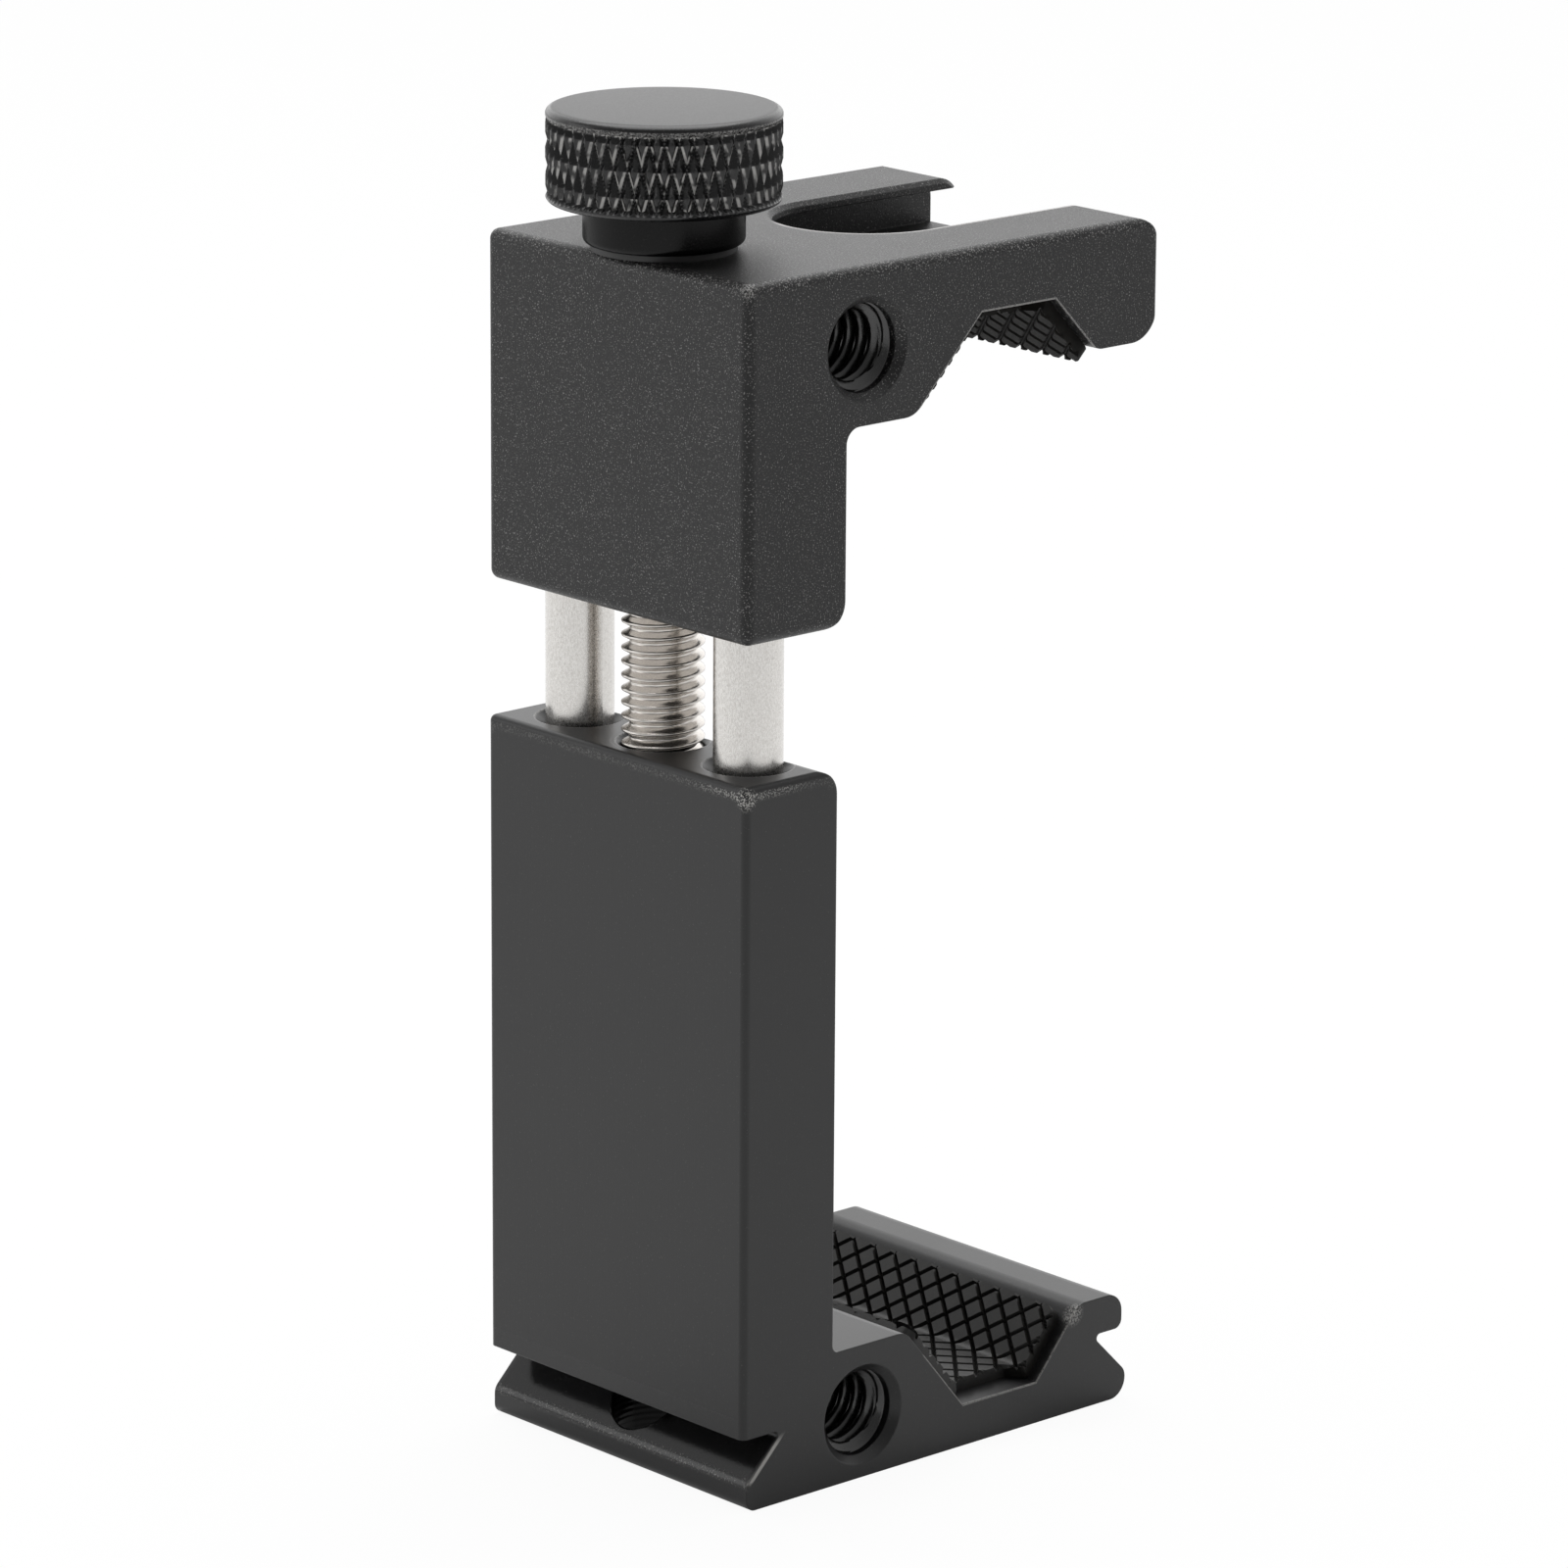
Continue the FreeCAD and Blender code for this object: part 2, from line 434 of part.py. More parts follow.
def build_lower_jaw():
    """The lower jaw: dovetail plate, groove for the phone's edge, and the bored spine."""
    body = new_body("lower_jaw_side_view")
    sketch = new_sketch(body, "lower_profile", "YZ_Plane")
    draw_outline(sketch, [("Places.nose_back", "0"),
                          ("Places.nose_front", "0"),
                          ("Places.nose_front", "Sizes.nose_height"),
                          ("Places.neck_front", "Sizes.neck_height"),
                          ("Places.lip_nose", "Sizes.neck_height"),
                          ("Places.lip_nose", "Sizes.lip_height"),
                          ("Places.lip_edge", "Sizes.lip_height"),
                          ("Places.groove_end", "Sizes.groove_floor_height"),
                          ("Places.groove_start", "Sizes.groove_floor_height"),
                          ("Places.shelf_edge", "Sizes.shelf_height"),
                          ("Places.lower_inner_face", "Sizes.shelf_height"),
                          ("Places.lower_inner_face", "Sizes.lower_spine_top"),
                          ("Places.back_face", "Sizes.lower_spine_top"),
                          ("Places.back_face", "Sizes.neck_height"),
                          ("Places.neck_back", "Sizes.neck_height"),
                          ("Places.nose_back", "Sizes.nose_height")])
    extrude(body, "Pad", "lower_block", sketch, "Sizes.body_width", symmetric=True)

    nose_back, nose_front = place("nose_back"), place("nose_front")
    inner = place("lower_inner_face")
    neck, shelf = size("neck_height"), size("shelf_height")
    round_edges(body, "Fillet", "foot_back_rounding", "Sizes.foot_back_round",
                crosswise_at((nose_back, 0)))
    round_edges(body, "Fillet", "foot_front_rounding", "Sizes.foot_front_round",
                crosswise_at((nose_front, 0)))
    round_edges(body, "Fillet", "nose_rounding", "Places.nose_radius",
                crosswise_at((nose_back, size("nose_height")), (nose_front, size("nose_height"))))
    round_edges(body, "Fillet", "neck_rounding", "Sizes.neck_round",
                crosswise_at((place("neck_back"), neck), (place("neck_front"), neck)))
    round_edges(body, "Fillet", "lip_bottom_rounding", "Sizes.lip_bottom_round",
                crosswise_at((place("lip_nose"), neck)))
    round_edges(body, "Fillet", "lip_top_rounding", "Places.lip_top_radius",
                crosswise_at((place("lip_nose"), size("lip_height")),
                             (place("lip_edge"), size("lip_height"))))
    round_edges(body, "Fillet", "shelf_edge_rounding", "Sizes.shelf_edge_round",
                crosswise_at((place("shelf_edge"), shelf)))
    round_edges(body, "Fillet", "shelf_corner_rounding", "Sizes.shelf_corner_round",
                crosswise_at((inner, shelf)))
    round_edges(body, "Fillet", "spine_top_rounding", "Sizes.lower_top_round",
                crosswise_at((inner, size("lower_spine_top"))))

    mouth = "Sizes.lower_spine_top + 1"
    for name, side in (("left", "-"), ("right", "")):
        drill(body, name + "_rod_bore", "XZ_Plane", side + "Places.rod_line", "0",
              "-Places.axis_line", "V_Axis",
              [("Places.rod_bore_radius", "Sizes.rod_bore_floor"),
               ("Places.rod_bore_radius", "Sizes.lower_spine_top - Sizes.rod_countersink"),
               ("Places.rod_bore_radius + Sizes.rod_countersink + 1", mouth)])
    drill(body, "screw_bore", "XZ_Plane", "0", "0", "-Places.axis_line", "V_Axis",
          [("Sizes.relief_diameter / 2", "-1"),
           ("Sizes.relief_diameter / 2", "Places.thread_bottom"),
           ("Places.screw_bore_radius", "Places.thread_bottom"),
           ("Places.screw_bore_radius", "Sizes.lower_spine_top - Sizes.screw_countersink"),
           ("Places.screw_bore_radius + Sizes.screw_countersink + 1", mouth)])
    side_hole(body, "lower_side_hole", "Places.lower_side_hole_y", "Sizes.lower_side_hole_height")
    drill(body, "tripod_hole", "XZ_Plane", "0", "0", "-Sizes.groove_centre", "V_Axis",
          [("Sizes.tripod_hole_diameter / 2 + Sizes.tripod_hole_chamfer + 1", "-1"),
           ("Sizes.tripod_hole_diameter / 2", "Sizes.tripod_hole_chamfer"),
           ("Sizes.tripod_hole_diameter / 2", "Sizes.shelf_height")])
    block = envelope("lower_envelope", "0", "Sizes.lower_spine_top", "Places.nose_front",
                     "Sizes.lower_edge_round", False, None)
    return common("lower_jaw", body, block)


def build_upper_jaw():
    """The upper jaw: spine that holds rods and screw, notched arm and accessory shoe."""
    body = new_body("upper_jaw_side_view")
    sketch = new_sketch(body, "upper_profile", "YZ_Plane")
    draw_outline(sketch, [("Places.back_face", "Places.upper_bottom"),
                          ("Places.upper_inner_face", "Places.upper_bottom"),
                          ("Places.upper_inner_face", "Places.arm_underside"),
                          ("Places.shoulder", "Places.arm_underside"),
                          ("Places.notch_start", "Places.notch_ceiling"),
                          ("Places.notch_end", "Places.notch_ceiling"),
                          ("Places.tip_heel", "Places.tip_underside"),
                          ("Places.arm_tip", "Places.tip_underside"),
                          ("Places.arm_tip", "Places.upper_top"),
                          ("Places.back_face", "Places.upper_top")])
    extrude(body, "Pad", "upper_block", sketch, "Sizes.body_width", symmetric=True)

    bottom, top = place("upper_bottom"), place("upper_top")
    tip, underside = place("arm_tip"), place("arm_underside")
    round_edges(body, "Fillet", "heel_rounding", "Sizes.upper_heel_round",
                crosswise_at((place("upper_inner_face"), bottom)))
    round_edges(body, "Fillet", "arm_corner_rounding", "Sizes.arm_corner_round",
                crosswise_at((place("upper_inner_face"), underside)))
    round_edges(body, "Fillet", "shoulder_rounding", "Sizes.shoulder_round",
                crosswise_at((place("shoulder"), underside)))
    round_edges(body, "Fillet", "tip_heel_rounding", "Places.tip_heel_radius",
                crosswise_at((place("tip_heel"), place("tip_underside"))))
    round_edges(body, "Fillet", "tip_bottom_rounding", "Places.tip_bottom_radius",
                crosswise_at((tip, place("tip_underside"))))
    round_edges(body, "Fillet", "tip_top_rounding", "Sizes.tip_top_round",
                crosswise_at((tip, top)))

    sketch = new_sketch(body, "shoe_opening_plan", "XY_Plane", outward="Places.upper_top")
    draw_open_slot(sketch, "Sizes.shoe_opening", "Sizes.shoe_centre", "Places.arm_tip + 1")
    extrude(body, "Pocket", "shoe_opening_cut", sketch, "Sizes.shoe_lip + Sizes.shoe_channel_height / 2")
    sketch = new_sketch(body, "shoe_channel_plan", "XY_Plane", outward="Places.lip_underside")
    draw_open_slot(sketch, "Sizes.shoe_channel", "Sizes.shoe_centre", "Places.arm_tip + 1")
    extrude(body, "Pocket", "shoe_channel_cut", sketch, "Sizes.shoe_channel_height")
    round_edges(body, "Chamfer", "shoe_edge_bevel", "Sizes.shoe_edge_chamfer",
                lambda edge: near(edge.BoundBox.ZMin, top) and near(edge.BoundBox.ZMax, top)
                and abs(edge.BoundBox.Center.x) < size("shoe_opening") / 2 + 0.01
                and edge.BoundBox.YMin > place("upper_inner_face"))
    floor = place("lip_underside") - size("shoe_channel_height")
    round_edges(body, "Chamfer", "shoe_mouth_bevel", "Sizes.shoe_mouth_chamfer",
                lambda edge: near(edge.BoundBox.YMin, tip) and edge.BoundBox.ZMin > floor - 0.01
                and edge.BoundBox.ZMax < place("lip_underside") + 0.01
                and abs(edge.BoundBox.Center.x) < size("shoe_channel") / 2 + 0.01
                and not near(edge.BoundBox.ZMin, place("lip_underside")))

    for name, side in (("left", "-"), ("right", "")):
        drill(body, name + "_rod_seat", "XZ_Plane", side + "Places.rod_line", "0",
              "-Places.axis_line", "V_Axis",
              [("Places.rod_radius + Sizes.seat_clearance", "Places.upper_bottom - 1"),
               ("Places.rod_radius + Sizes.seat_clearance", "Places.rod_top")])
    drill(body, "screw_passage", "XZ_Plane", "0", "0", "-Places.axis_line", "V_Axis",
          [("Sizes.counterbore_diameter / 2", "Places.upper_bottom - 1"),
           ("Sizes.counterbore_diameter / 2", "Places.counterbore_top"),
           ("Sizes.screw_passage / 2", "Places.counterbore_top"),
           ("Sizes.screw_passage / 2", "Places.upper_top + 1")])
    side_hole(body, "upper_side_hole", "Places.upper_side_hole_y", "Places.upper_side_hole_z")
    block = envelope("upper_envelope", "Places.upper_bottom", "Places.upper_top", "Places.arm_tip",
                     "Sizes.upper_edge_round", True, "Sizes.tip_side_round")
    return common("upper_jaw", body, block)


def build_guide_rod(label, side):
    """A ground steel rod, pressed into the upper jaw and sliding in the lower one."""
    body = new_body(label)
    sketch = new_sketch(body, label + "_section", "XY_Plane", side + "Places.rod_line",
                        "Places.axis_line", "Places.rod_top")
    draw_circle(sketch, "rod", "0", "0", "Sizes.rod_diameter")
    extrude(body, "Pad", label + "_bar", sketch, "Places.rod_top - Places.rod_bottom", reverse=True)
    round_edges(body, "Chamfer", label + "_chamfer", "Sizes.rod_chamfer",
                lambda edge: near(edge.BoundBox.ZMax, place("rod_bottom")))
    return body


def build_lead_screw():
    """The screw that draws the jaws together, with a groove for each of its two rings."""
    body = new_body("lead_screw")
    sketch = new_sketch(body, "screw_section", "XZ_Plane", outward="-Places.axis_line")
    draw_outline(sketch, [("0", "Places.screw_tip"),
                          ("Places.screw_radius - Sizes.screw_tip_chamfer", "Places.screw_tip"),
                          ("Places.screw_radius", "Places.screw_tip + Sizes.screw_tip_chamfer"),
                          ("Places.screw_radius", "Places.end_ring_bottom"),
                          ("Places.ring_groove_radius", "Places.end_ring_bottom"),
                          ("Places.ring_groove_radius", "Places.end_ring_top"),
                          ("Places.screw_radius", "Places.end_ring_top"),
                          ("Places.screw_radius", "Places.snap_ring_bottom"),
                          ("Places.ring_groove_radius", "Places.snap_ring_bottom"),
                          ("Places.ring_groove_radius", "Places.snap_ring_top"),
                          ("Places.screw_radius", "Places.snap_ring_top"),
                          ("Places.screw_radius", "Places.screw_end"),
                          ("0", "Places.screw_end")])
    turn(body, "Revolution", "screw_shank", sketch)
    return body


def build_ring(label, outer, bottom):
    """A flat spring ring with a gap, seated in a groove of the lead screw."""
    body = new_body(label)
    sketch = new_sketch(body, label + "_plan", "XY_Plane", upward="Places.axis_line", outward=bottom)
    draw_circle(sketch, "outside", "0", "0", outer)
    draw_circle(sketch, "inside", "0", "0", "Sizes.ring_groove_diameter + 2 * Sizes.seat_clearance")
    extrude(body, "Pad", label + "_disc", sketch, "Sizes.ring_thickness")
    sketch = new_sketch(body, label + "_gap_plan", "XY_Plane", upward="Places.axis_line", outward=bottom)
    draw_outline(sketch, [("-Sizes.ring_slot / 2", "0"),
                          ("Sizes.ring_slot / 2", "0"),
                          ("Sizes.ring_slot / 2", outer),
                          ("-Sizes.ring_slot / 2", outer)])
    extrude(body, "Pocket", label + "_gap", sketch, "Sizes.ring_thickness", reverse=True)
    return body


def build_thrust_washer():
    """The thin washer on which the knob turns."""
    body = new_body("thrust_washer")
    sketch = new_sketch(body, "washer_plan", "XY_Plane", upward="Places.axis_line",
                        outward="Places.upper_top")
    draw_circle(sketch, "outside", "0", "0", "Sizes.washer_diameter")
    draw_circle(sketch, "inside", "0", "0", "Sizes.screw_passage")
    extrude(body, "Pad", "washer_disc", sketch, "Sizes.washer_thickness")
    return body


def ring_of_nodes(count, height, radius_at):
    """Points round the axis at one height, where radius_at gives the radius by the point's number."""
    ring = []
    for number in range(count):
        angle = 2 * math.pi * number / count
        radius = radius_at(number)
        ring.append(Vector(radius * math.cos(angle), radius * math.sin(angle), height))
    return ring


def bevel_triangles(ring, rim):
    """Triangles between a bevel's inner ring and a rim with twice as many points."""
    triangles = []
    for number in range(len(ring)):
        here, beside = ring[number], ring[(number + 1) % len(ring)]
        first, middle = rim[2 * number], rim[2 * number + 1]
        last = rim[(2 * number + 2) % len(rim)]
        triangles += [(here, first, middle), (here, middle, beside), (beside, middle, last)]
    return triangles


def knurled_head():
    """The knob's head: a drum of raised diamonds between two bevels.

    The diamonds stand between two sets of helical cuts, which cross at the diamonds' corners. The
    corners lie on a smaller circle than the raised middles, and row by row they change places by
    half a diamond.
    """
    outer = size("head_diameter") / 2
    diamonds = round(2 * math.pi * outer / size("knurl_pitch"))
    half_rise = outer * math.pi / diamonds / math.tan(math.radians(size("knurl_lead_angle")))
    rows = max(2, round(size("knurl_height") / half_rise))
    count = 2 * diamonds

    def bevel(height):
        """Inner ring of the bevel at one end of the head."""
        return ring_of_nodes(diamonds, height, lambda number: outer - size("head_bevel_width"))

    def rim(row):
        """Middles and corners of the diamonds in one row."""
        height = size("head_bevel_height") + row * size("knurl_height") / rows
        return ring_of_nodes(count, height,
                             lambda number: outer - (number + row) % 2 * size("knurl_depth"))

    rims = [rim(row) for row in range(rows + 1)]
    triangles = []
    for row in range(rows):
        below, above = rims[row], rims[row + 1]
        for number in range(count):
            right = (number + 1) % count
            here, beside, across, over = below[number], below[right], above[right], above[number]
            if (row + number) % 2 == 0:
                triangles += [(here, beside, over), (beside, across, over)]
            else:
                triangles += [(here, beside, across), (here, across, over)]
    bottom, top = bevel(0), bevel(size("knurl_height") + 2 * size("head_bevel_height"))
    triangles += bevel_triangles(bottom, rims[0]) + bevel_triangles(top, rims[-1])
    outlines = [list(triangle) for triangle in triangles] + [bottom, top]
    faces = [Part.Face(Part.makePolygon(outline + [outline[0]])) for outline in outlines]
    head = Part.makeSolid(Part.makeShell(faces))
    if head.Volume < 0:
        head.reverse()
    return head


def build_knob():
    """The knob: plain collar, bevelled and knurled head, and the blind bore for the screw."""
    collar = new_body("knob_collar")
    core = "Sizes.collar_diameter / 2"
    inside_head = "Places.head_bottom + Sizes.head_bevel_height"
    sketch = new_sketch(collar, "collar_section", "XZ_Plane", outward="-Places.axis_line")
    draw_outline(sketch, [("0", "Places.collar_bottom"),
                          (core + " - Sizes.collar_chamfer", "Places.collar_bottom"),
                          (core, "Places.collar_bottom + Sizes.collar_chamfer"),
                          (core, inside_head),
                          ("0", inside_head)])
    turn(collar, "Revolution", "knob_turned_collar", sketch)

    head = document.addObject("Part::Feature", "knurled_head")
    head.Shape = knurled_head()
    head.Placement = FreeCAD.Placement(Vector(0, place("axis_line"), place("head_bottom")),
                                       FreeCAD.Rotation())
    whole = document.addObject("Part::Fuse", "knob_solid")
    whole.Base = collar
    whole.Tool = head
    bore = document.addObject("Part::Cylinder", "knob_bore")
    bore.setExpression("Radius", "Places.screw_radius + Sizes.seat_clearance")
    bore.setExpression("Height", "Sizes.knob_bore_depth")
    bore.setExpression("Placement.Base.y", "Places.axis_line")
    bore.setExpression("Placement.Base.z", "Places.collar_bottom")
    knob = document.addObject("Part::Cut", "knob")
    knob.Label = "knob"
    knob.Base = whole
    knob.Tool = bore
    return knob


def build_grip(label, outline, hole):
    """A rubber grip that lines a jaw's groove.

    The outline's first four corners lie on the metal and the last four on the open surface.
    """
    body = new_body(label)
    sketch = new_sketch(body, label + "_profile", "YZ_Plane")
    draw_outline(sketch, outline)
    extrude(body, "Pad", label + "_sheet", sketch, "Sizes.body_width - 2 * Sizes.grip_side_margin",
            symmetric=True)
    corners = []
    for across, upward in outline:
        corners.append(Vector(0, float(sketch.evalExpression(across)),
                              float(sketch.evalExpression(upward))))
    ends = ((corners[0] + corners[7]) / 2, (corners[3] + corners[4]) / 2)
    round_edges(body, "Fillet", label + "_corner_rounding", "Sizes.grip_corner_round",
                lambda edge: any(near(edge.CenterOfMass.y, end.y) and near(edge.CenterOfMass.z, end.z)
                                 for end in ends))
    if hole:
        sketch = new_sketch(body, label + "_hole_plan", "XY_Plane", outward="Sizes.shelf_height")
        draw_circle(sketch, "hole", "0", "Sizes.groove_centre", "Sizes.grip_hole_diameter")
        extrude(body, "Pocket", label + "_hole", sketch, "Sizes.shelf_height")
    return body


def grip_outline(jaw, angle, level, sign):
    """Corners of a grip's side view, from the near end along the metal and back along the rubber."""
    slope = "(" + angle + " * 1 deg)"
    thick = "Sizes.grip_thickness"
    near_run = "Places." + jaw + "_near_run"
    far_run = "Places." + jaw + "_far_run"
    start, end = "Places." + jaw + "_start", "Places." + jaw + "_end"
    lean = thick + " * tan(" + angle + " / 2 * 1 deg)"
    near_across = start + " - " + near_run + " * cos" + slope
    near_up = level + sign + near_run + " * sin" + slope
    far_across = end + " + " + far_run + " * cos" + slope
    far_up = level + sign + far_run + " * sin" + slope
    return [(near_across, near_up),
            (start, level),
            (end, level),
            (far_across, far_up),
            (far_across + " - " + thick + " * sin" + slope, far_up + sign + thick + " * cos" + slope),
            (end + " - " + lean, level + sign + thick),
            (start + " + " + lean, level + sign + thick),
            (near_across + " + " + thick + " * sin" + slope, near_up + sign + thick + " * cos" + slope)]


pieces = [
    build_lower_jaw(),
    build_upper_jaw(),
    build_guide_rod("guide_rod_left", "-"),
    build_guide_rod("guide_rod_right", ""),
    build_lead_screw(),
    build_ring("snap_ring", "Sizes.snap_ring_diameter", "Places.snap_ring_bottom"),
    build_ring("screw_end_ring", "Sizes.end_ring_diameter", "Places.end_ring_bottom"),
    build_thrust_washer(),
    build_knob(),
    build_grip("lower_grip", grip_outline("groove", "Sizes.groove_angle",
                                          "Sizes.groove_floor_height", " + "), True),
    build_grip("upper_grip", grip_outline("notch", "Sizes.notch_angle",
                                          "Places.notch_ceiling", " - "), False),
]
document.recompute()

for item in document.Objects:
    if "Invalid" in item.State or "Error" in item.State:
        raise ValueError(item.Label + " failed: " + str(item.State))
for piece in pieces:
    if piece.Shape.isNull() or not piece.Shape.isValid():
        raise ValueError(piece.Label + " has no valid shape")

os.makedirs("parts", exist_ok=True)
for piece in pieces:
    piece.Shape.exportStep("parts/" + piece.Label + ".step")
    print(piece.Label, len(piece.Shape.Solids), "solid", len(piece.Shape.Faces), "faces",
          round(piece.Shape.Volume, 2), "mm3")
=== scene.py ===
"""Looks of a clamping phone mount: its threads, knurl and rubber grips, its finishes and the studio.

Lengths are in metres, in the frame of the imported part: +Z up along the rods and the screw, +Y from the
back of the spine to the tips of the jaws, and the origin in the middle of the dovetail plate's bottom.
Textures are scaled in millimetres.
"""

import logging
import math
from dataclasses import dataclass
from enum import Enum
from typing import Any, Optional, Union

import bpy
import numpy as np
from mathutils import Matrix, Vector

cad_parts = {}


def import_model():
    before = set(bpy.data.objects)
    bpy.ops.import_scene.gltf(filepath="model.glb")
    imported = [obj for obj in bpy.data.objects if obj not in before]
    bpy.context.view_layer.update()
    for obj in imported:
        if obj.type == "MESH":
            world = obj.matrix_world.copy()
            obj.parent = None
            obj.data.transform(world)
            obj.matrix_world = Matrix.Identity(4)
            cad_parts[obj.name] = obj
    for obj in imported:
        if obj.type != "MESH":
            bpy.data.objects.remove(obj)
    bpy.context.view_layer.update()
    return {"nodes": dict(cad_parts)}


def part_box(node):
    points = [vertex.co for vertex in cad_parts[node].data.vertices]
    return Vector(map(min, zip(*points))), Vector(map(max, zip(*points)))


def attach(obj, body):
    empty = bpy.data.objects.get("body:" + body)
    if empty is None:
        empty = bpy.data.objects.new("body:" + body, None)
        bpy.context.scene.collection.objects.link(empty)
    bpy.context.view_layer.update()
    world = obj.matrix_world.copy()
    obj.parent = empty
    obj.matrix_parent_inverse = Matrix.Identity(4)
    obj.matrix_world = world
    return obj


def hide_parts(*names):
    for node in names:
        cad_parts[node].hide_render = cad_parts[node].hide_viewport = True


LOG = logging.getLogger("phone_mount")
MM = 0.001
TURN = 2 * math.pi


class Body(Enum):
    """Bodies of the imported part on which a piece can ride."""

    LOWER = "lower"
    UPPER = "upper"
    SCREW = "screw"


class Slot(Enum):
    """Material slots of the record."""

    LOWER = "lower_anodised"
    UPPER = "upper_anodised"
    KNOB = "knob_anodised"
    ROD = "rod_steel"
    SCREW = "screw_steel"
    SPRING = "spring_steel"
    WASHER = "washer_plastic"
    GRIP = "grip_rubber"


class Along(Enum):
    """Axis of a threaded hole."""

    X = "x"
    Z = "z"


Colour = tuple[float, float, float]
Point = tuple[float, float, float]
Span = tuple[float, float]
Band = tuple[float, float, float, float]
Number = Union[float, "Sock"]
# Colour of the painted shade that Shader.finish mixes in.
DEEP_BLACK: Colour = (0.002, 0.002, 0.002)


class Sock:
    """A node's output, on which Python's operators add Math nodes."""

    def __init__(self, shader: "Shader", socket: Any) -> None:
        """Wraps an output socket of a shader's tree."""
        self.shader = shader
        self.socket = socket

    def _math(self, operation: str, *values: Number) -> "Sock":
        """Adds one Math node for the operation on the values."""
        inputs = dict(enumerate(values))
        return self.shader.node("ShaderNodeMath", inputs, operation=operation)

    def __add__(self, other: Number) -> "Sock":
        """Sum."""
        return self._math("ADD", self, other)

    __radd__ = __add__

    def __sub__(self, other: Number) -> "Sock":
        """Difference."""
        return self._math("SUBTRACT", self, other)

    def __rsub__(self, other: Number) -> "Sock":
        """Difference from a number."""
        return self._math("SUBTRACT", other, self)

    def __mul__(self, other: Number) -> "Sock":
        """Product."""
        return self._math("MULTIPLY", self, other)

    __rmul__ = __mul__

    def __pow__(self, other: Number) -> "Sock":
        """Power."""
        return self._math("POWER", self, other)

    def size(self) -> "Sock":
        """Value without its sign."""
        return self._math("ABSOLUTE", self)

    def most(self, other: Number) -> "Sock":
        """The larger of two values."""
        return self._math("MAXIMUM", self, other)

    def least(self, other: Number) -> "Sock":
        """The smaller of two values."""
        return self._math("MINIMUM", self, other)

    def rise(self, low: float, high: float) -> "Sock":
        """A smooth step from 0 at low to 1 at high."""
        inputs = {"Value": self, "From Min": low, "From Max": high}
        return self.shader.node("ShaderNodeMapRange", inputs, interpolation_type="SMOOTHSTEP")

    def fall(self, low: float, high: float) -> "Sock":
        """A smooth step from 1 at low to 0 at high."""
        return 1.0 - self.rise(low, high)

    def band(self, low: float, full: float, thin: float, high: float) -> "Sock":
        """1 between full and thin, with smooth steps to 0 at low and at high."""
        return self.rise(low, full) * self.fall(thin, high)


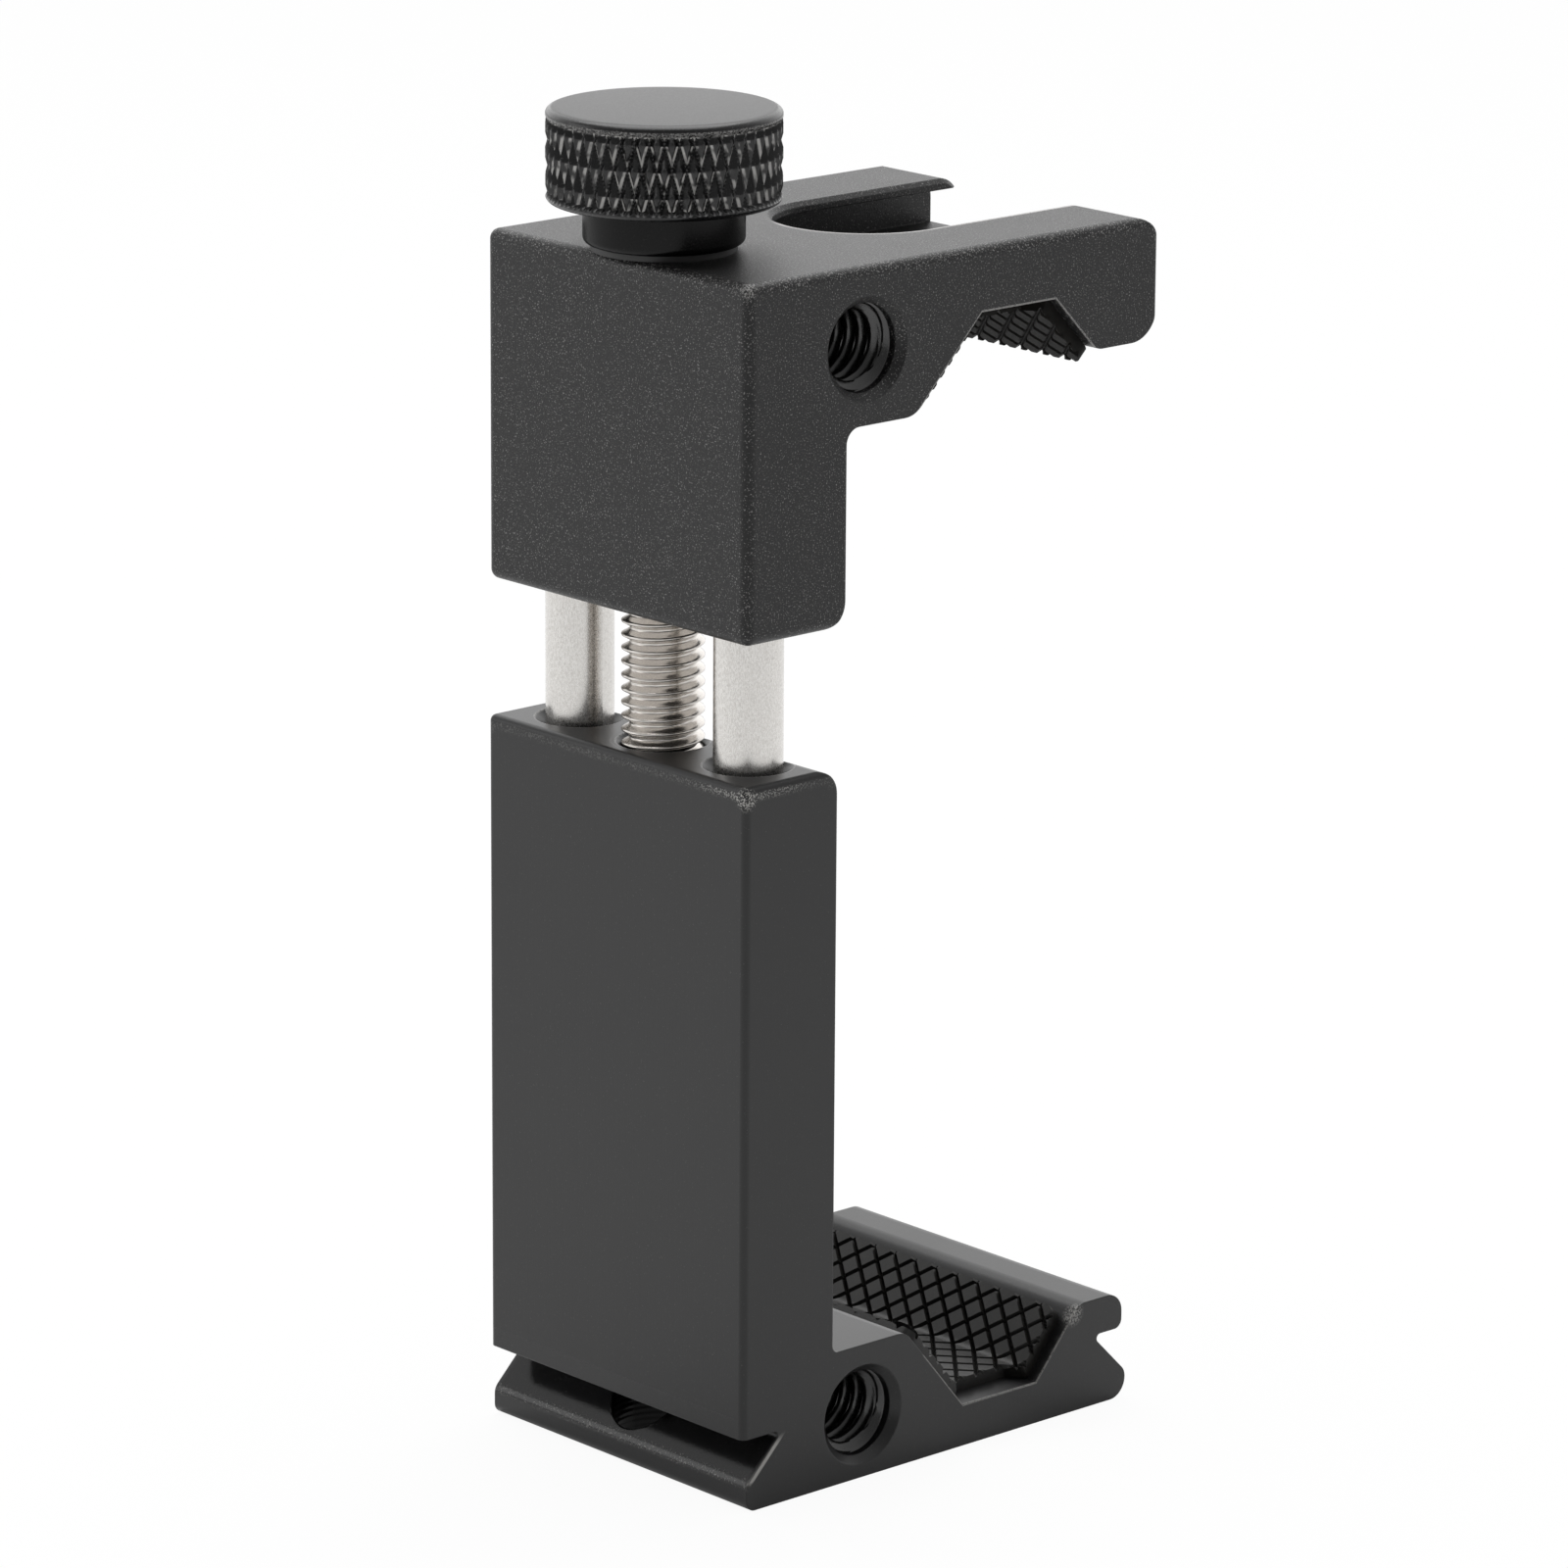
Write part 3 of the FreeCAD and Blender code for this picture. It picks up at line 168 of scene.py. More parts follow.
class Shader:
    """The node tree of a material or of the room, filled by Python expressions."""

    def __init__(self, name: str, kinds: Any = None) -> None:
        """Makes an empty material of that name, or an empty room among the worlds."""
        self.material = (bpy.data.materials if kinds is None else kinds).new(name)
        self.material.use_nodes = True
        self.tree = self.material.node_tree
        self.tree.nodes.clear()

    def node(self, kind: str, inputs: Optional[dict] = None, output: Union[int, str] = 0,
             **settings: Any) -> Sock:
        """Adds a node.

        Args:
            kind: The node's type.
            inputs: Values or sockets, by the input's name or number.
            output: The name or number of the output that is wanted.
            settings: The node's own properties, which are set first.

        Returns:
            The wanted output.
        """
        made = self.tree.nodes.new(kind)
        for key, value in settings.items():
            setattr(made, key, value)
        for key, value in (inputs or {}).items():
            if isinstance(value, Sock):
                self.tree.links.new(value.socket, made.inputs[key])
            else:
                made.inputs[key].default_value = value
        return Sock(self, made.outputs[output])

    def millimetres(self) -> Sock:
        """Object coordinates in millimetres."""
        place = self.node("ShaderNodeTexCoord", output="Object")
        return self.node("ShaderNodeVectorMath", {0: place, "Scale": 1 / MM}, operation="SCALE")

    def stretched(self, scale: Point) -> Sock:
        """Object coordinates in millimetres, multiplied by a scale on each axis."""
        inputs = {0: self.millimetres(), 1: scale}
        return self.node("ShaderNodeVectorMath", inputs, operation="MULTIPLY")

    def distance(self, vector: Sock, point: Point) -> Sock:
        """Distance from a point."""
        return self.node("ShaderNodeVectorMath", {0: vector, 1: point}, output="Value", operation="DISTANCE")

    def from_axis(self, place: Sock, x: float, y: float) -> Sock:
        """Distance from an upright axis."""
        flat = self.node("ShaderNodeVectorMath", {0: place, 1: (1.0, 1.0, 0.0)}, operation="MULTIPLY")
        return self.distance(flat, (x, y, 0.0))

    def axis(self, vector: Sock, index: int) -> Sock:
        """One coordinate of a vector."""
        return self.node("ShaderNodeSeparateXYZ", {0: vector}, output=index)

    def noise(self, vector: Sock, scale: float, detail: float = 2.0, rough: float = 0.5) -> Sock:
        """Smooth noise round 0.5, with scale as its waves for each unit of the vector."""
        inputs = {"Vector": vector, "Scale": scale, "Detail": detail, "Roughness": rough}
        return self.node("ShaderNodeTexNoise", inputs, output=0)

    def mix(self, factor: Number, first: Union[Colour, Sock], second: Union[Colour, Sock]) -> Sock:
        """A colour between two colours."""
        ends = {6: first, 7: second}
        inputs = {key: end if isinstance(end, Sock) else (*end, 1.0) for key, end in ends.items()}
        return self.node("ShaderNodeMix", {"Factor": factor, **inputs}, output=2, data_type="RGBA")

    def outer_edges(self, place: Sock, low: Point, high: Point) -> Sock:
        """Distance to the nearest outer edge of a block.

        On each axis the distance to the nearer of the block's two sides is taken. The middle one of
        the three distances is how far the nearest edge is.

        Args:
            place: A place in millimetres.
            low: The block's lowest corner.
            high: The block's highest corner.

        Returns:
            The distance in millimetres.
        """
        near = []
        for i in range(3):
            half, middle = (high[i] - low[i]) / 2, (high[i] + low[i]) / 2
            near.append(half - (self.axis(place, i) - middle).size())
        return near[0].least(near[1]).most(near[0].most(near[1]).least(near[2]))

    def valley_edge_highlight(self, place: Sock, valley: "Valley") -> Sock:
        """1 on the two sharp edges of a V-shaped groove that runs along X, in a thin line, where a painted
        highlight goes.

        The groove's outline is level between two places along Y and climbs on both sides of them, so
        its height is the floor's plus the slope times the distance outside them.

        Args:
            place: A place in millimetres.
            valley: The groove.

        Returns:
            How much of the line is at the place.
        """
        along, upward = self.axis(place, 1), self.axis(place, 2)
        outside = (valley.start - along).most(along - valley.end).most(0.0)
        above = (upward - valley.floor) * valley.sign
        height = above - outside * math.tan(math.radians(valley.angle))
        inside = above.fall(valley.depth - 0.4, valley.depth - 0.1)
        side = self.axis(place, 0).size().rise(valley.half_width - 0.14, valley.half_width - 0.08)
        return height.size().fall(0.1, 0.16) * side * inside

    def bump(self, height: Sock, depth: float, edge: float = 0.0) -> Sock:
        """A normal that a height bends.

        Args:
            height: The height, from 0 to 1.
            depth: What a height of 1 stands for, in metres.
            edge: The radius by which edges look rounded, in metres.

        Returns:
            The normal.
        """
        inputs = {"Height": height, "Distance": depth, "Strength": 1.0}
        if edge:
            inputs["Normal"] = self.node("ShaderNodeBevel", {"Radius": edge}, samples=6)
        return self.node("ShaderNodeBump", inputs)

    def finish(self, painted_shade: Optional[Sock] = None, **inputs: Any) -> bpy.types.Material:
        """Ends the tree with a Principled shader.

        Args:
            painted_shade: The share of the surface that is painted black and without gloss, as shade, if any
                is.
            inputs: The shader's inputs, with _ for the spaces in their names.

        Returns:
            The material.
        """
        named = {key.replace("_", " "): value for key, value in inputs.items()}
        surface = self.node("ShaderNodeBsdfPrincipled", named)
        if painted_shade is not None:
            # The painted shade: a black matte surface, mixed in by that share.
            black = self.node("ShaderNodeBsdfDiffuse", {"Color": (*DEEP_BLACK, 1.0)})
            surface = self.node("ShaderNodeMixShader", {0: painted_shade, 1: surface, 2: black})
        self.node_output(surface)
        return self.material

    def node_output(self, surface: Sock, kind: str = "ShaderNodeOutputMaterial") -> None:
        """Joins a surface to the tree's output."""
        made = self.tree.nodes.new(kind)
        self.tree.links.new(surface.socket, made.inputs["Surface"])


@dataclass(frozen=True)
class Valley:
    """A groove for the phone's edge, in millimetres, with the angle of its slopes in degrees.

    Its floor is level from start to end. The sign is 1 where it opens upwards, and -1 elsewhere.
    """

    start: float
    end: float
    floor: float
    angle: float
    depth: float
    sign: float
    half_width: float = 14.0


LOWER_GROOVE = Valley(start=2.3, end=9.8, floor=3.2, angle=50.0, depth=5.0, sign=1.0)
UPPER_NOTCH = Valley(start=2.8, end=10.1, floor=84.75, angle=46.0, depth=6.4, sign=-1.0)


@dataclass(frozen=True)
class BlastedAnodise:
    """Black anodised aluminium that was bead-blasted: pale specks, denser and paler near its top edges as
    painted glints, and painted highlights along the edges of its slot and notch.
    """

    base: Colour = (0.0035, 0.0035, 0.0038)
    # Colour of the pale specks, which near the top edges are painted glints.
    speck: Colour = (0.26, 0.255, 0.25)
    # Colour of rubbed chips at the corner and of the painted highlights along the slot's and notch's edges.
    bare: Colour = (0.5, 0.49, 0.475)
    roughness: float = 0.42
    specular: float = 0.44
    grain: float = 0.026 * MM
    edge: float = 0.15 * MM
    low: Point = (-14.0, -19.4, 63.85)
    high: Point = (14.0, 20.25, 89.5)
    corner: Point = (14.0, -19.4, 89.5)
    chip_reach: Span = (0.4, 1.3)
    glint_reach: Span = (0.45, 1.1)
    slot_radius: float = 6.6
    slot_centre: float = 4.3
    slot_bevel: float = 0.37
    slot_highlight_band: Band = (-0.06, 0.0, 0.2, 0.28)

    def build(self, name: str) -> bpy.types.Material:
        """Makes the material: specks where fine noise is high, over a blasted grain.

        Args:
            name: The material's name.

        Returns:
            The material.
        """
        shader = Shader(name)
        place = shader.millimetres()
        fine = shader.noise(place, 8.0, 1.5, 0.6)
        grain = shader.noise(place, 9.0, 3.0, 0.6)
        cloud = shader.noise(place, 0.25, 2.0)
        # Painted glints: within glint_reach of the top edges the pale specks grow denser and paler.
        top = shader.axis(place, 2).rise(self.high[2] - 2.5, self.high[2] - 1.5)
        band = shader.outer_edges(place, self.low, self.high).fall(*self.glint_reach) * top
        specks = (fine + 0.04 * band + 0.05 * (cloud - 0.5)).rise(0.58, 0.72)
        chip = shader.distance(place, self.corner).fall(*self.chip_reach) * fine.rise(0.44, 0.54)
        # Painted highlight: a thin pale line along the slot's and the notch's edges, broken by fine noise.
        highlight_lines = self.slot_edge_highlight(shader, place) + 0.6 * shader.valley_edge_highlight(place, UPPER_NOTCH)
        rim = highlight_lines * fine.rise(0.25, 0.5)
        tint = shader.mix(specks * (0.78 + 0.12 * band), self.base, self.speck)
        return shader.finish(
            Base_Color=shader.mix((rim * 0.8).most(chip * 0.5), tint, self.bare),
            Roughness=self.roughness - 0.1 * specks + 0.06 * (cloud - 0.5),
            Specular_IOR_Level=self.specular,
            Normal=shader.bump(grain, self.grain, self.edge))

    def slot_edge_highlight(self, shader: Shader, place: Sock) -> Sock:
        """1 on the top beside the shoe slot's bevel, round its end and along its side at positive X, where a
        painted highlight goes.

        The slot's outline is a half circle round its centre that goes on as two straight sides, so
        its radius is taken from the centre or, past it, from the slot's middle line.

        Args:
            shader: The material's tree.
            place: A place in millimetres.

        Returns:
            How much of the line is at the place.
        """
        across, along = shader.axis(place, 0), shader.axis(place, 1)
        beyond = (self.slot_centre - along).most(0.0)
        radius = (across * across + beyond * beyond) ** 0.5
        outside = radius - (self.slot_radius + self.slot_bevel)
        line = outside.band(*self.slot_highlight_band) * across.rise(-3.0, -1.0)
        return line * shader.axis(place, 2).rise(self.high[2] - 0.12, self.high[2] - 0.06)


@dataclass(frozen=True)
class BrushedAnodise:
    """Black anodised aluminium with faint upright brushing, rubbed pale marks along its handled edges, and
    painted highlights on some of its edges.
    """

    base: Colour = (0.005, 0.005, 0.0053)
    speck: Colour = (0.12, 0.118, 0.115)
    # Colour of rubbed bare metal and of the painted highlights on edges.
    wear_and_highlight: Colour = (0.45, 0.44, 0.42)
    roughness: float = 0.35
    grain: float = 0.007 * MM
    edge: float = 0.15 * MM
    low: Point = (-14.0, -19.4, -60.0)
    high: Point = (14.0, -10.75, 53.75)
    corner: Point = (14.0, -19.4, 53.0)
    rim_band: Band = (52.2, 52.9, 53.25, 53.4)
    foot_nose: Span = (-18.75, 2.0)
    slope_band: Band = (1.9, 2.3, 4.4, 5.4)
    lip_corner: Point = (14.0, 13.5, 7.7)
    bore_y: float = -14.8
    relief_radius: float = 3.8
    countersinks: tuple[Span, ...] = ((-9.1, 3.3), (0.0, 3.43), (9.1, 3.3))

    def build(self, name: str) -> bpy.types.Material:
        """Makes the material: streaks, fine specks, rubbed edges with painted highlights on some of them,
        and rings in the drilled relief.

        Args:
            name: The material's name.

        Returns:
            The material.
        """
        shader = Shader(name)
        place = shader.millimetres()
        across, along, upward = (shader.axis(place, i) for i in range(3))
        streaks = shader.noise(shader.stretched((6.0, 6.0, 0.12)), 1.0, 3.0, 0.6)
        fine = shader.noise(place, 7.0, 2.0, 0.65)
        cloud = shader.noise(place, 0.12, 2.0)
        chips = (fine + 0.12 * (shader.noise(place, 1.1, 2.0) - 0.5)).rise(0.5, 0.6)
        from_corner = shader.distance(place, self.corner)
        from_edge = shader.outer_edges(place, self.low, self.high)
        under_rim = from_edge.fall(0.7, 1.2) * upward.band(*self.rim_band)
        beside_edge = ((across - self.corner[0]) + (self.corner[1] - along)).size().rise(0.15, 0.4)
        patch = from_corner.fall(0.5, 1.2) * beside_edge
        # Painted highlight: a thin pale ring on each countersink's rim.
        rims = self.countersink_rim_highlights(shader, place) * fine.rise(0.35, 0.55)
        # Rubbed chips under the top rim and beside the corner, plus the painted highlight on the
        # countersinks' rims.
        edge_wear_and_rim_highlight = chips * (under_rim * (0.15 + 0.5 * from_corner.fall(1.0, 7.0)) + 0.8 * patch) + 0.4 * rims
        nose_y, nose_z = self.foot_nose
        # Pale specks along the foot's rounded front: partly rubbed metal, partly a painted highlight.
        nose_wear_and_highlight = ((along - nose_y) ** 2.0 + (upward - nose_z) ** 2.0).fall(0.02, 0.3)
        # Painted highlight: a thin pale line where the foot's slope meets the side face at positive X.
        beside_slope = ((along - nose_y) - (upward - nose_z)).size().fall(0.15, 0.3)
        slope_edge_highlight = beside_slope * across.rise(13.82, 13.92) * upward.band(*self.slope_band)
        chip = shader.distance(place, self.lip_corner).fall(0.5, 1.2) * fine.rise(0.46, 0.56)
        # Every pale mark: the rubbed chips plus the painted highlights on the edges.
        wear_and_highlight = (edge_wear_and_rim_highlight + nose_wear_and_highlight * fine.rise(0.56, 0.66) * 0.35 + slope_edge_highlight * 0.7 + 0.5 * chip
                + 0.4 * shader.valley_edge_highlight(place, LOWER_GROOVE) * fine.rise(0.3, 0.5))
        tint = shader.mix(fine.rise(0.64, 0.76) * 0.35, self.base, self.speck)
        from_bore = shader.from_axis(place, 0.0, self.bore_y)
        drilled = from_bore.fall(self.relief_radius - 0.06, self.relief_radius)
        rings = shader.node("ShaderNodeMath", {0: upward * 14.0}, operation="SINE")
        foot = upward.fall(6.6, 7.2) * along.fall(-14.6, -14.2) * across.size().fall(13.5, 13.8)
        return shader.finish(
            Base_Color=shader.mix(wear_and_highlight.least(1.0), tint, self.wear_and_highlight),
            Roughness=self.roughness + 0.06 * (streaks - 0.5) + 0.05 * (cloud - 0.5) - 0.2 * foot,
            Normal=shader.bump(0.4 * streaks + 0.6 * fine + 0.8 * drilled * rings, self.grain, self.edge))

    def countersink_rim_highlights(self, shader: Shader, place: Sock) -> Sock:
        """1 on the thin rims of the three countersinks on the spine's top, where a painted highlight goes.
        """
        rims = [(shader.from_axis(place, x, self.bore_y) - radius).size().fall(0.04, 0.12)
                for x, radius in self.countersinks]
        on_top = shader.axis(place, 2).rise(self.high[2] - 0.2, self.high[2] - 0.1)
        return rims[0].most(rims[1]).most(rims[2]) * on_top


@dataclass(frozen=True)
class TurnedAnodise:
    """Black anodised aluminium of the knob: glossy, with a painted highlight on its rim, painted reflection
    on its knurl and painted shade on its collar.
    """

    base: Colour = (0.003, 0.003, 0.0033)
    # Colour of the painted highlight on the rim, the painted reflection on the knurl, and the pale specks.
    pale: Colour = (0.5, 0.49, 0.475)
    roughness: float = 0.24
    grain: float = 0.009 * MM
    axis_y: float = -14.8
    top: float = 99.62
    rim_band: Band = (0.42, 0.5, 0.75, 0.95)
    knurl_band: Band = (0.7, 0.9, 6.2, 6.4)
    wall_band: Band = (7.98, 8.02, 8.12, 8.2)
    collar: Span = (6.7, 6.8)
    collar_shade: float = 0.6

    def build(self, name: str) -> bpy.types.Material:
        """Makes the material: pale slivers of painted reflection on the knurl's walls that face down, and a
        painted highlight on the rim.

        Args:
            name: The material's name.

        Returns:
            The material.
        """
        shader = Shader(name)
        place = shader.millimetres()
        fine = shader.noise(place, 7.0, 2.0, 0.65)
        coarse = shader.noise(place, 1.3, 1.0)
        radius = shader.from_axis(place, 0.0, self.axis_y)
        downward = shader.axis(shader.node("ShaderNodeNewGeometry", output="Normal"), 2).fall(-0.14, -0.06)
        below_top = self.top - shader.axis(place, 2)
        on_top = below_top.fall(0.02, 0.08)
        # Painted highlight: a pale speckled band on the rounded top rim.
        rim = below_top.band(*self.rim_band) * radius.rise(8.1, 8.25) * fine.rise(0.4, 0.6)
        # Painted reflection: the knurl's walls that face down are made pale, standing in for the bright
        # floor that they mirror.
        in_knurl = radius.band(*self.wall_band) * below_top.band(*self.knurl_band)
        wall = in_knurl * downward * coarse.rise(0.34, 0.6)
        specks = fine.rise(0.62, 0.76) * (0.12 + 0.1 * on_top)
        return shader.finish(
            # Painted shade: the collar under the head is mixed partly into matte black.
            painted_shade=below_top.rise(*self.collar) * self.collar_shade,
            Base_Color=shader.mix((0.35 * rim + wall + specks).least(1.0), self.base, self.pale),
            Roughness=self.roughness + 0.15 * (fine - 0.5) + 0.1 * rim + 0.14 * on_top,
            Normal=shader.bump(fine, self.grain))


@dataclass(frozen=True)
class CutAnodise:
    """Black anodised thread, cut before the dyeing, so that its flanks shine."""

    base: Colour = (0.005, 0.0048, 0.0046)
    pale: Colour = (0.3, 0.29, 0.28)
    roughness: float = 0.2
    specular: float = 0.8
    grain: float = 0.006 * MM

    def build(self, name: str) -> bpy.types.Material:
        """Makes the material with a fine torn grain.

        Args:
            name: The material's name.

        Returns:
            The material.
        """
        shader = Shader(name)
        place = shader.millimetres()
        torn = shader.noise(place, 6.0, 3.0, 0.65)
        return shader.finish(
            Base_Color=shader.mix(torn.rise(0.6, 0.75) * 0.15, self.base, self.pale),
            Roughness=self.roughness + 0.25 * (torn - 0.5),
            Specular_IOR_Level=self.specular,
            Normal=shader.bump(torn, self.grain))


@dataclass(frozen=True)
class Steel:
    """Bare steel, ground or cut, with fine streaks drawn out along Z."""

    bright: Colour = (0.76, 0.745, 0.72)
    dark: Colour = (0.36, 0.335, 0.31)
    roughness: float = 0.25
    grain: float = 0.003 * MM
    stretch: float = 0.35
    streaks: float = 0.42

    def build(self, name: str) -> bpy.types.Material:
        """Makes the material: fine streaks in colour, roughness and height, and short darker dashes.

        Args:
            name: The material's name.

        Returns:
            The material.
        """
        shader = Shader(name)
        fine = shader.noise(shader.stretched((1.0, 1.0, self.stretch)), 12.0, 3.0, 0.65)
        short = shader.stretched((1.0, 1.0, 2.2 * self.stretch))
        dashes = shader.noise(short, 5.5, 2.0, 0.7).fall(0.36, 0.42)
        shade = self.streaks * fine.fall(0.35, 0.65) + 0.35 * self.streaks * dashes
        return shader.finish(
            Base_Color=shader.mix(shade.least(1.0), self.bright, self.dark),
            Metallic=1.0,
            Roughness=self.roughness + 0.25 * (fine - 0.5),
            Normal=shader.bump(fine, self.grain))


@dataclass(frozen=True)
class Matte:
    """A plain dark plastic or oiled surface with a fine grain."""

    base: Colour = (0.02, 0.02, 0.02)
    roughness: float = 0.55
    metallic: float = 0.0
    paler: float = 1.6
    grain: float = 0.004 * MM

    def build(self, name: str) -> bpy.types.Material:
        """Makes the material from one fine noise.

        Args:
            name: The material's name.

        Returns:
            The material.
        """
        shader = Shader(name)
        fine = shader.noise(shader.millimetres(), 8.0, 2.0)
        pale = tuple(self.paler * value for value in self.base)
        return shader.finish(
            Base_Color=shader.mix(fine, self.base, pale),
            Metallic=self.metallic,
            Roughness=self.roughness + 0.2 * (fine - 0.5),
            Normal=shader.bump(fine, self.grain))


@dataclass(frozen=True)
class Rubber:
    """Black rubber with a brown cast, paler in soft dusty patches."""

    base: Colour = (0.0045, 0.004, 0.0033)
    dusty: Colour = (0.015, 0.0137, 0.0112)
    gloss: float = 0.45
    roughness: float = 0.42
    grain: float = 0.01 * MM

    def build(self, name: str) -> bpy.types.Material:
        """Makes the material from a soft and a fine noise.

        Args:
            name: The material's name.

        Returns:
            The material.
        """
        shader = Shader(name)
        place = shader.millimetres()
        soft = shader.noise(place, 0.8, 3.0)
        fine = shader.noise(place, 7.0, 3.0, 0.6)
        return shader.finish(
            Base_Color=shader.mix(soft.rise(0.4, 0.75) * 0.5, self.base, self.dusty),
            Roughness=self.roughness + 0.25 * (fine - 0.5),
            Specular_IOR_Level=self.gloss,
            Normal=shader.bump(fine, self.grain))


def make_piece(name: str, points: np.ndarray, faces: list[np.ndarray],
               material: bpy.types.Material, sharp: float = 35.0) -> bpy.types.Object:
    """Makes an object from points and faces.

    Args:
        name: The piece's name.
        points: One row of X, Y and Z for each point.
        faces: Arrays of point numbers, one row for each face, each array with its own corner count.
        material: The piece's finish.
        sharp: Angle in degrees above which an edge is shaded as sharp.

    Returns:
        The object, at the origin and smoothly shaded.
    """
    mesh = bpy.data.meshes.new(name)
    mesh.vertices.add(len(points))
    mesh.vertices.foreach_set("co", points.astype(np.float32).ravel())
    corners = np.concatenate([part.ravel() for part in faces]).astype(np.int32)
    counts = np.concatenate([np.full(len(part), part.shape[1]) for part in faces]).astype(np.int32)
    starts = np.concatenate(([0], np.cumsum(counts)[:-1])).astype(np.int32)
    mesh.loops.add(len(corners))
    mesh.loops.foreach_set("vertex_index", corners)
    mesh.polygons.add(len(counts))
    mesh.polygons.foreach_set("loop_start", starts)
    mesh.update(calc_edges=True)
    mesh.validate()
    mesh.shade_smooth()
    mesh.set_sharp_from_angle(angle=math.radians(sharp))
    mesh.materials.append(material)
    piece = bpy.data.objects.new(name, mesh)
    bpy.context.scene.collection.objects.link(piece)
    return piece


def grid_quads(rows: int, columns: int, close_rows: bool, close_columns: bool) -> np.ndarray:
    """Quads between neighbours of a grid whose points are numbered row by row.

    Args:
        rows: How many rows the grid has.
        columns: How many points a row has.
        close_rows: Whether the last row joins the first.
        close_columns: Whether each row's last point joins its first.

    Returns:
        Four point numbers for each quad.
    """
    row = np.arange(rows if close_rows else rows - 1)[:, None]
    column = np.arange(columns if close_columns else columns - 1)[None, :]
    below, above = row * columns, (row + 1) % rows * columns
    right = (column + 1) % columns
    quads = np.stack([below + column, below + right, above + right, above + column], axis=-1)
    return quads.reshape(-1, 4)


def capped_rings(rings: np.ndarray, first_pole: np.ndarray,
                 last_pole: np.ndarray) -> tuple[np.ndarray, list[np.ndarray]]:
    """Closes a stack of rings with a fan to a pole at each end.

    Args:
        rings: Points by ring, by place on the ring and by coordinate.
        first_pole: The point inside the first ring.
        last_pole: The point inside the last ring.

    Returns:
        The points and the faces.
    """
    rows, columns = rings.shape[:2]
    points = np.concatenate([rings.reshape(-1, 3), [first_pole, last_pole]])
    here = np.arange(columns)
    beside = (here + 1) % columns
    low = np.stack([beside, here, np.full(columns, rows * columns)], axis=-1)
    top = (rows - 1) * columns
    high = np.stack([top + here, top + beside, np.full(columns, rows * columns + 1)], axis=-1)
    return points, [grid_quads(rows, columns, False, True), low, high]


def thread_form(phase: np.ndarray, crest: float, root: float) -> np.ndarray:
    """Height of a thread's flank, from 0 in its root to 1 on its crest.

    The height falls in a straight line from the crest's flat to the root's flat.

    Args:
        phase: Share of a pitch, counted from the crest's middle.
        crest: Width of the crest's flat, as a share of the pitch.
        root: Width of the root's flat, as a share of the pitch.

    Returns:
        The height.
    """
    away = np.abs((phase + 0.5) % 1.0 - 0.5)
    return np.clip((0.5 - root / 2 - away) / (0.5 - root / 2 - crest / 2), 0.0, 1.0)


@dataclass
class ThreadedHole:
    """The cut thread inside a plain bore, as a thin sleeve whose inner wall is the thread."""

    name: str
    along: Along
    centre: Span
    start: float
    end: float
    bore_radius: float = 3.2 * MM
    clearance: float = 0.01 * MM
    depth: float = 0.68 * MM
    pitch: float = 25.4 / 20 * MM
    crest: float = 0.28
    root: float = 0.14
    fade: float = 0.55 * MM
    wall: float = 0.12 * MM
    sides: int = 72
    steps: int = 14

    def build(self, material: bpy.types.Material) -> bpy.types.Object:
        """Works out the sleeve.

        The inner wall is a grid of the turn t and the length a. Its radius is the bore's, less the
        depth times the thread's form at the phase a / pitch - t / full turn, and less nothing where
        the thread fades out at its ends. The outer wall is a plain cylinder inside the metal.

        Args:
            material: The finish of the thread.

        Returns:
            The sleeve.
        """
        count = int(round((self.end - self.start) / self.pitch * self.steps))
        length = np.linspace(self.start, self.end, count)[:, None]
        turn = np.linspace(0, TURN, self.sides, endpoint=False)[None, :]
        form = thread_form(length / self.pitch - turn / TURN, self.crest, self.root)
        near_end = np.minimum(length - self.start, self.end - length)
        form = form * np.clip(near_end / self.fade, 0.0, 1.0)
        inner = self.bore_radius - self.clearance - self.depth * form
        outer = np.full((2, self.sides), self.bore_radius + self.wall)
        radius = np.concatenate([inner, outer])
        place = np.concatenate([length + 0 * turn, [[self.end]] + 0 * turn, [[self.start]] + 0 * turn])
        first = self.centre[0] + radius * np.cos(turn)
        second = self.centre[1] + radius * np.sin(turn)
        if self.along is Along.X:
            rings = np.stack([place, first, second], axis=-1)
        else:
            rings = np.stack([first, second, place], axis=-1)
        quads = grid_quads(len(rings), self.sides, True, True)[:, ::-1]
        return make_piece(self.name, rings.reshape(-1, 3), [quads], material, sharp=60.0)


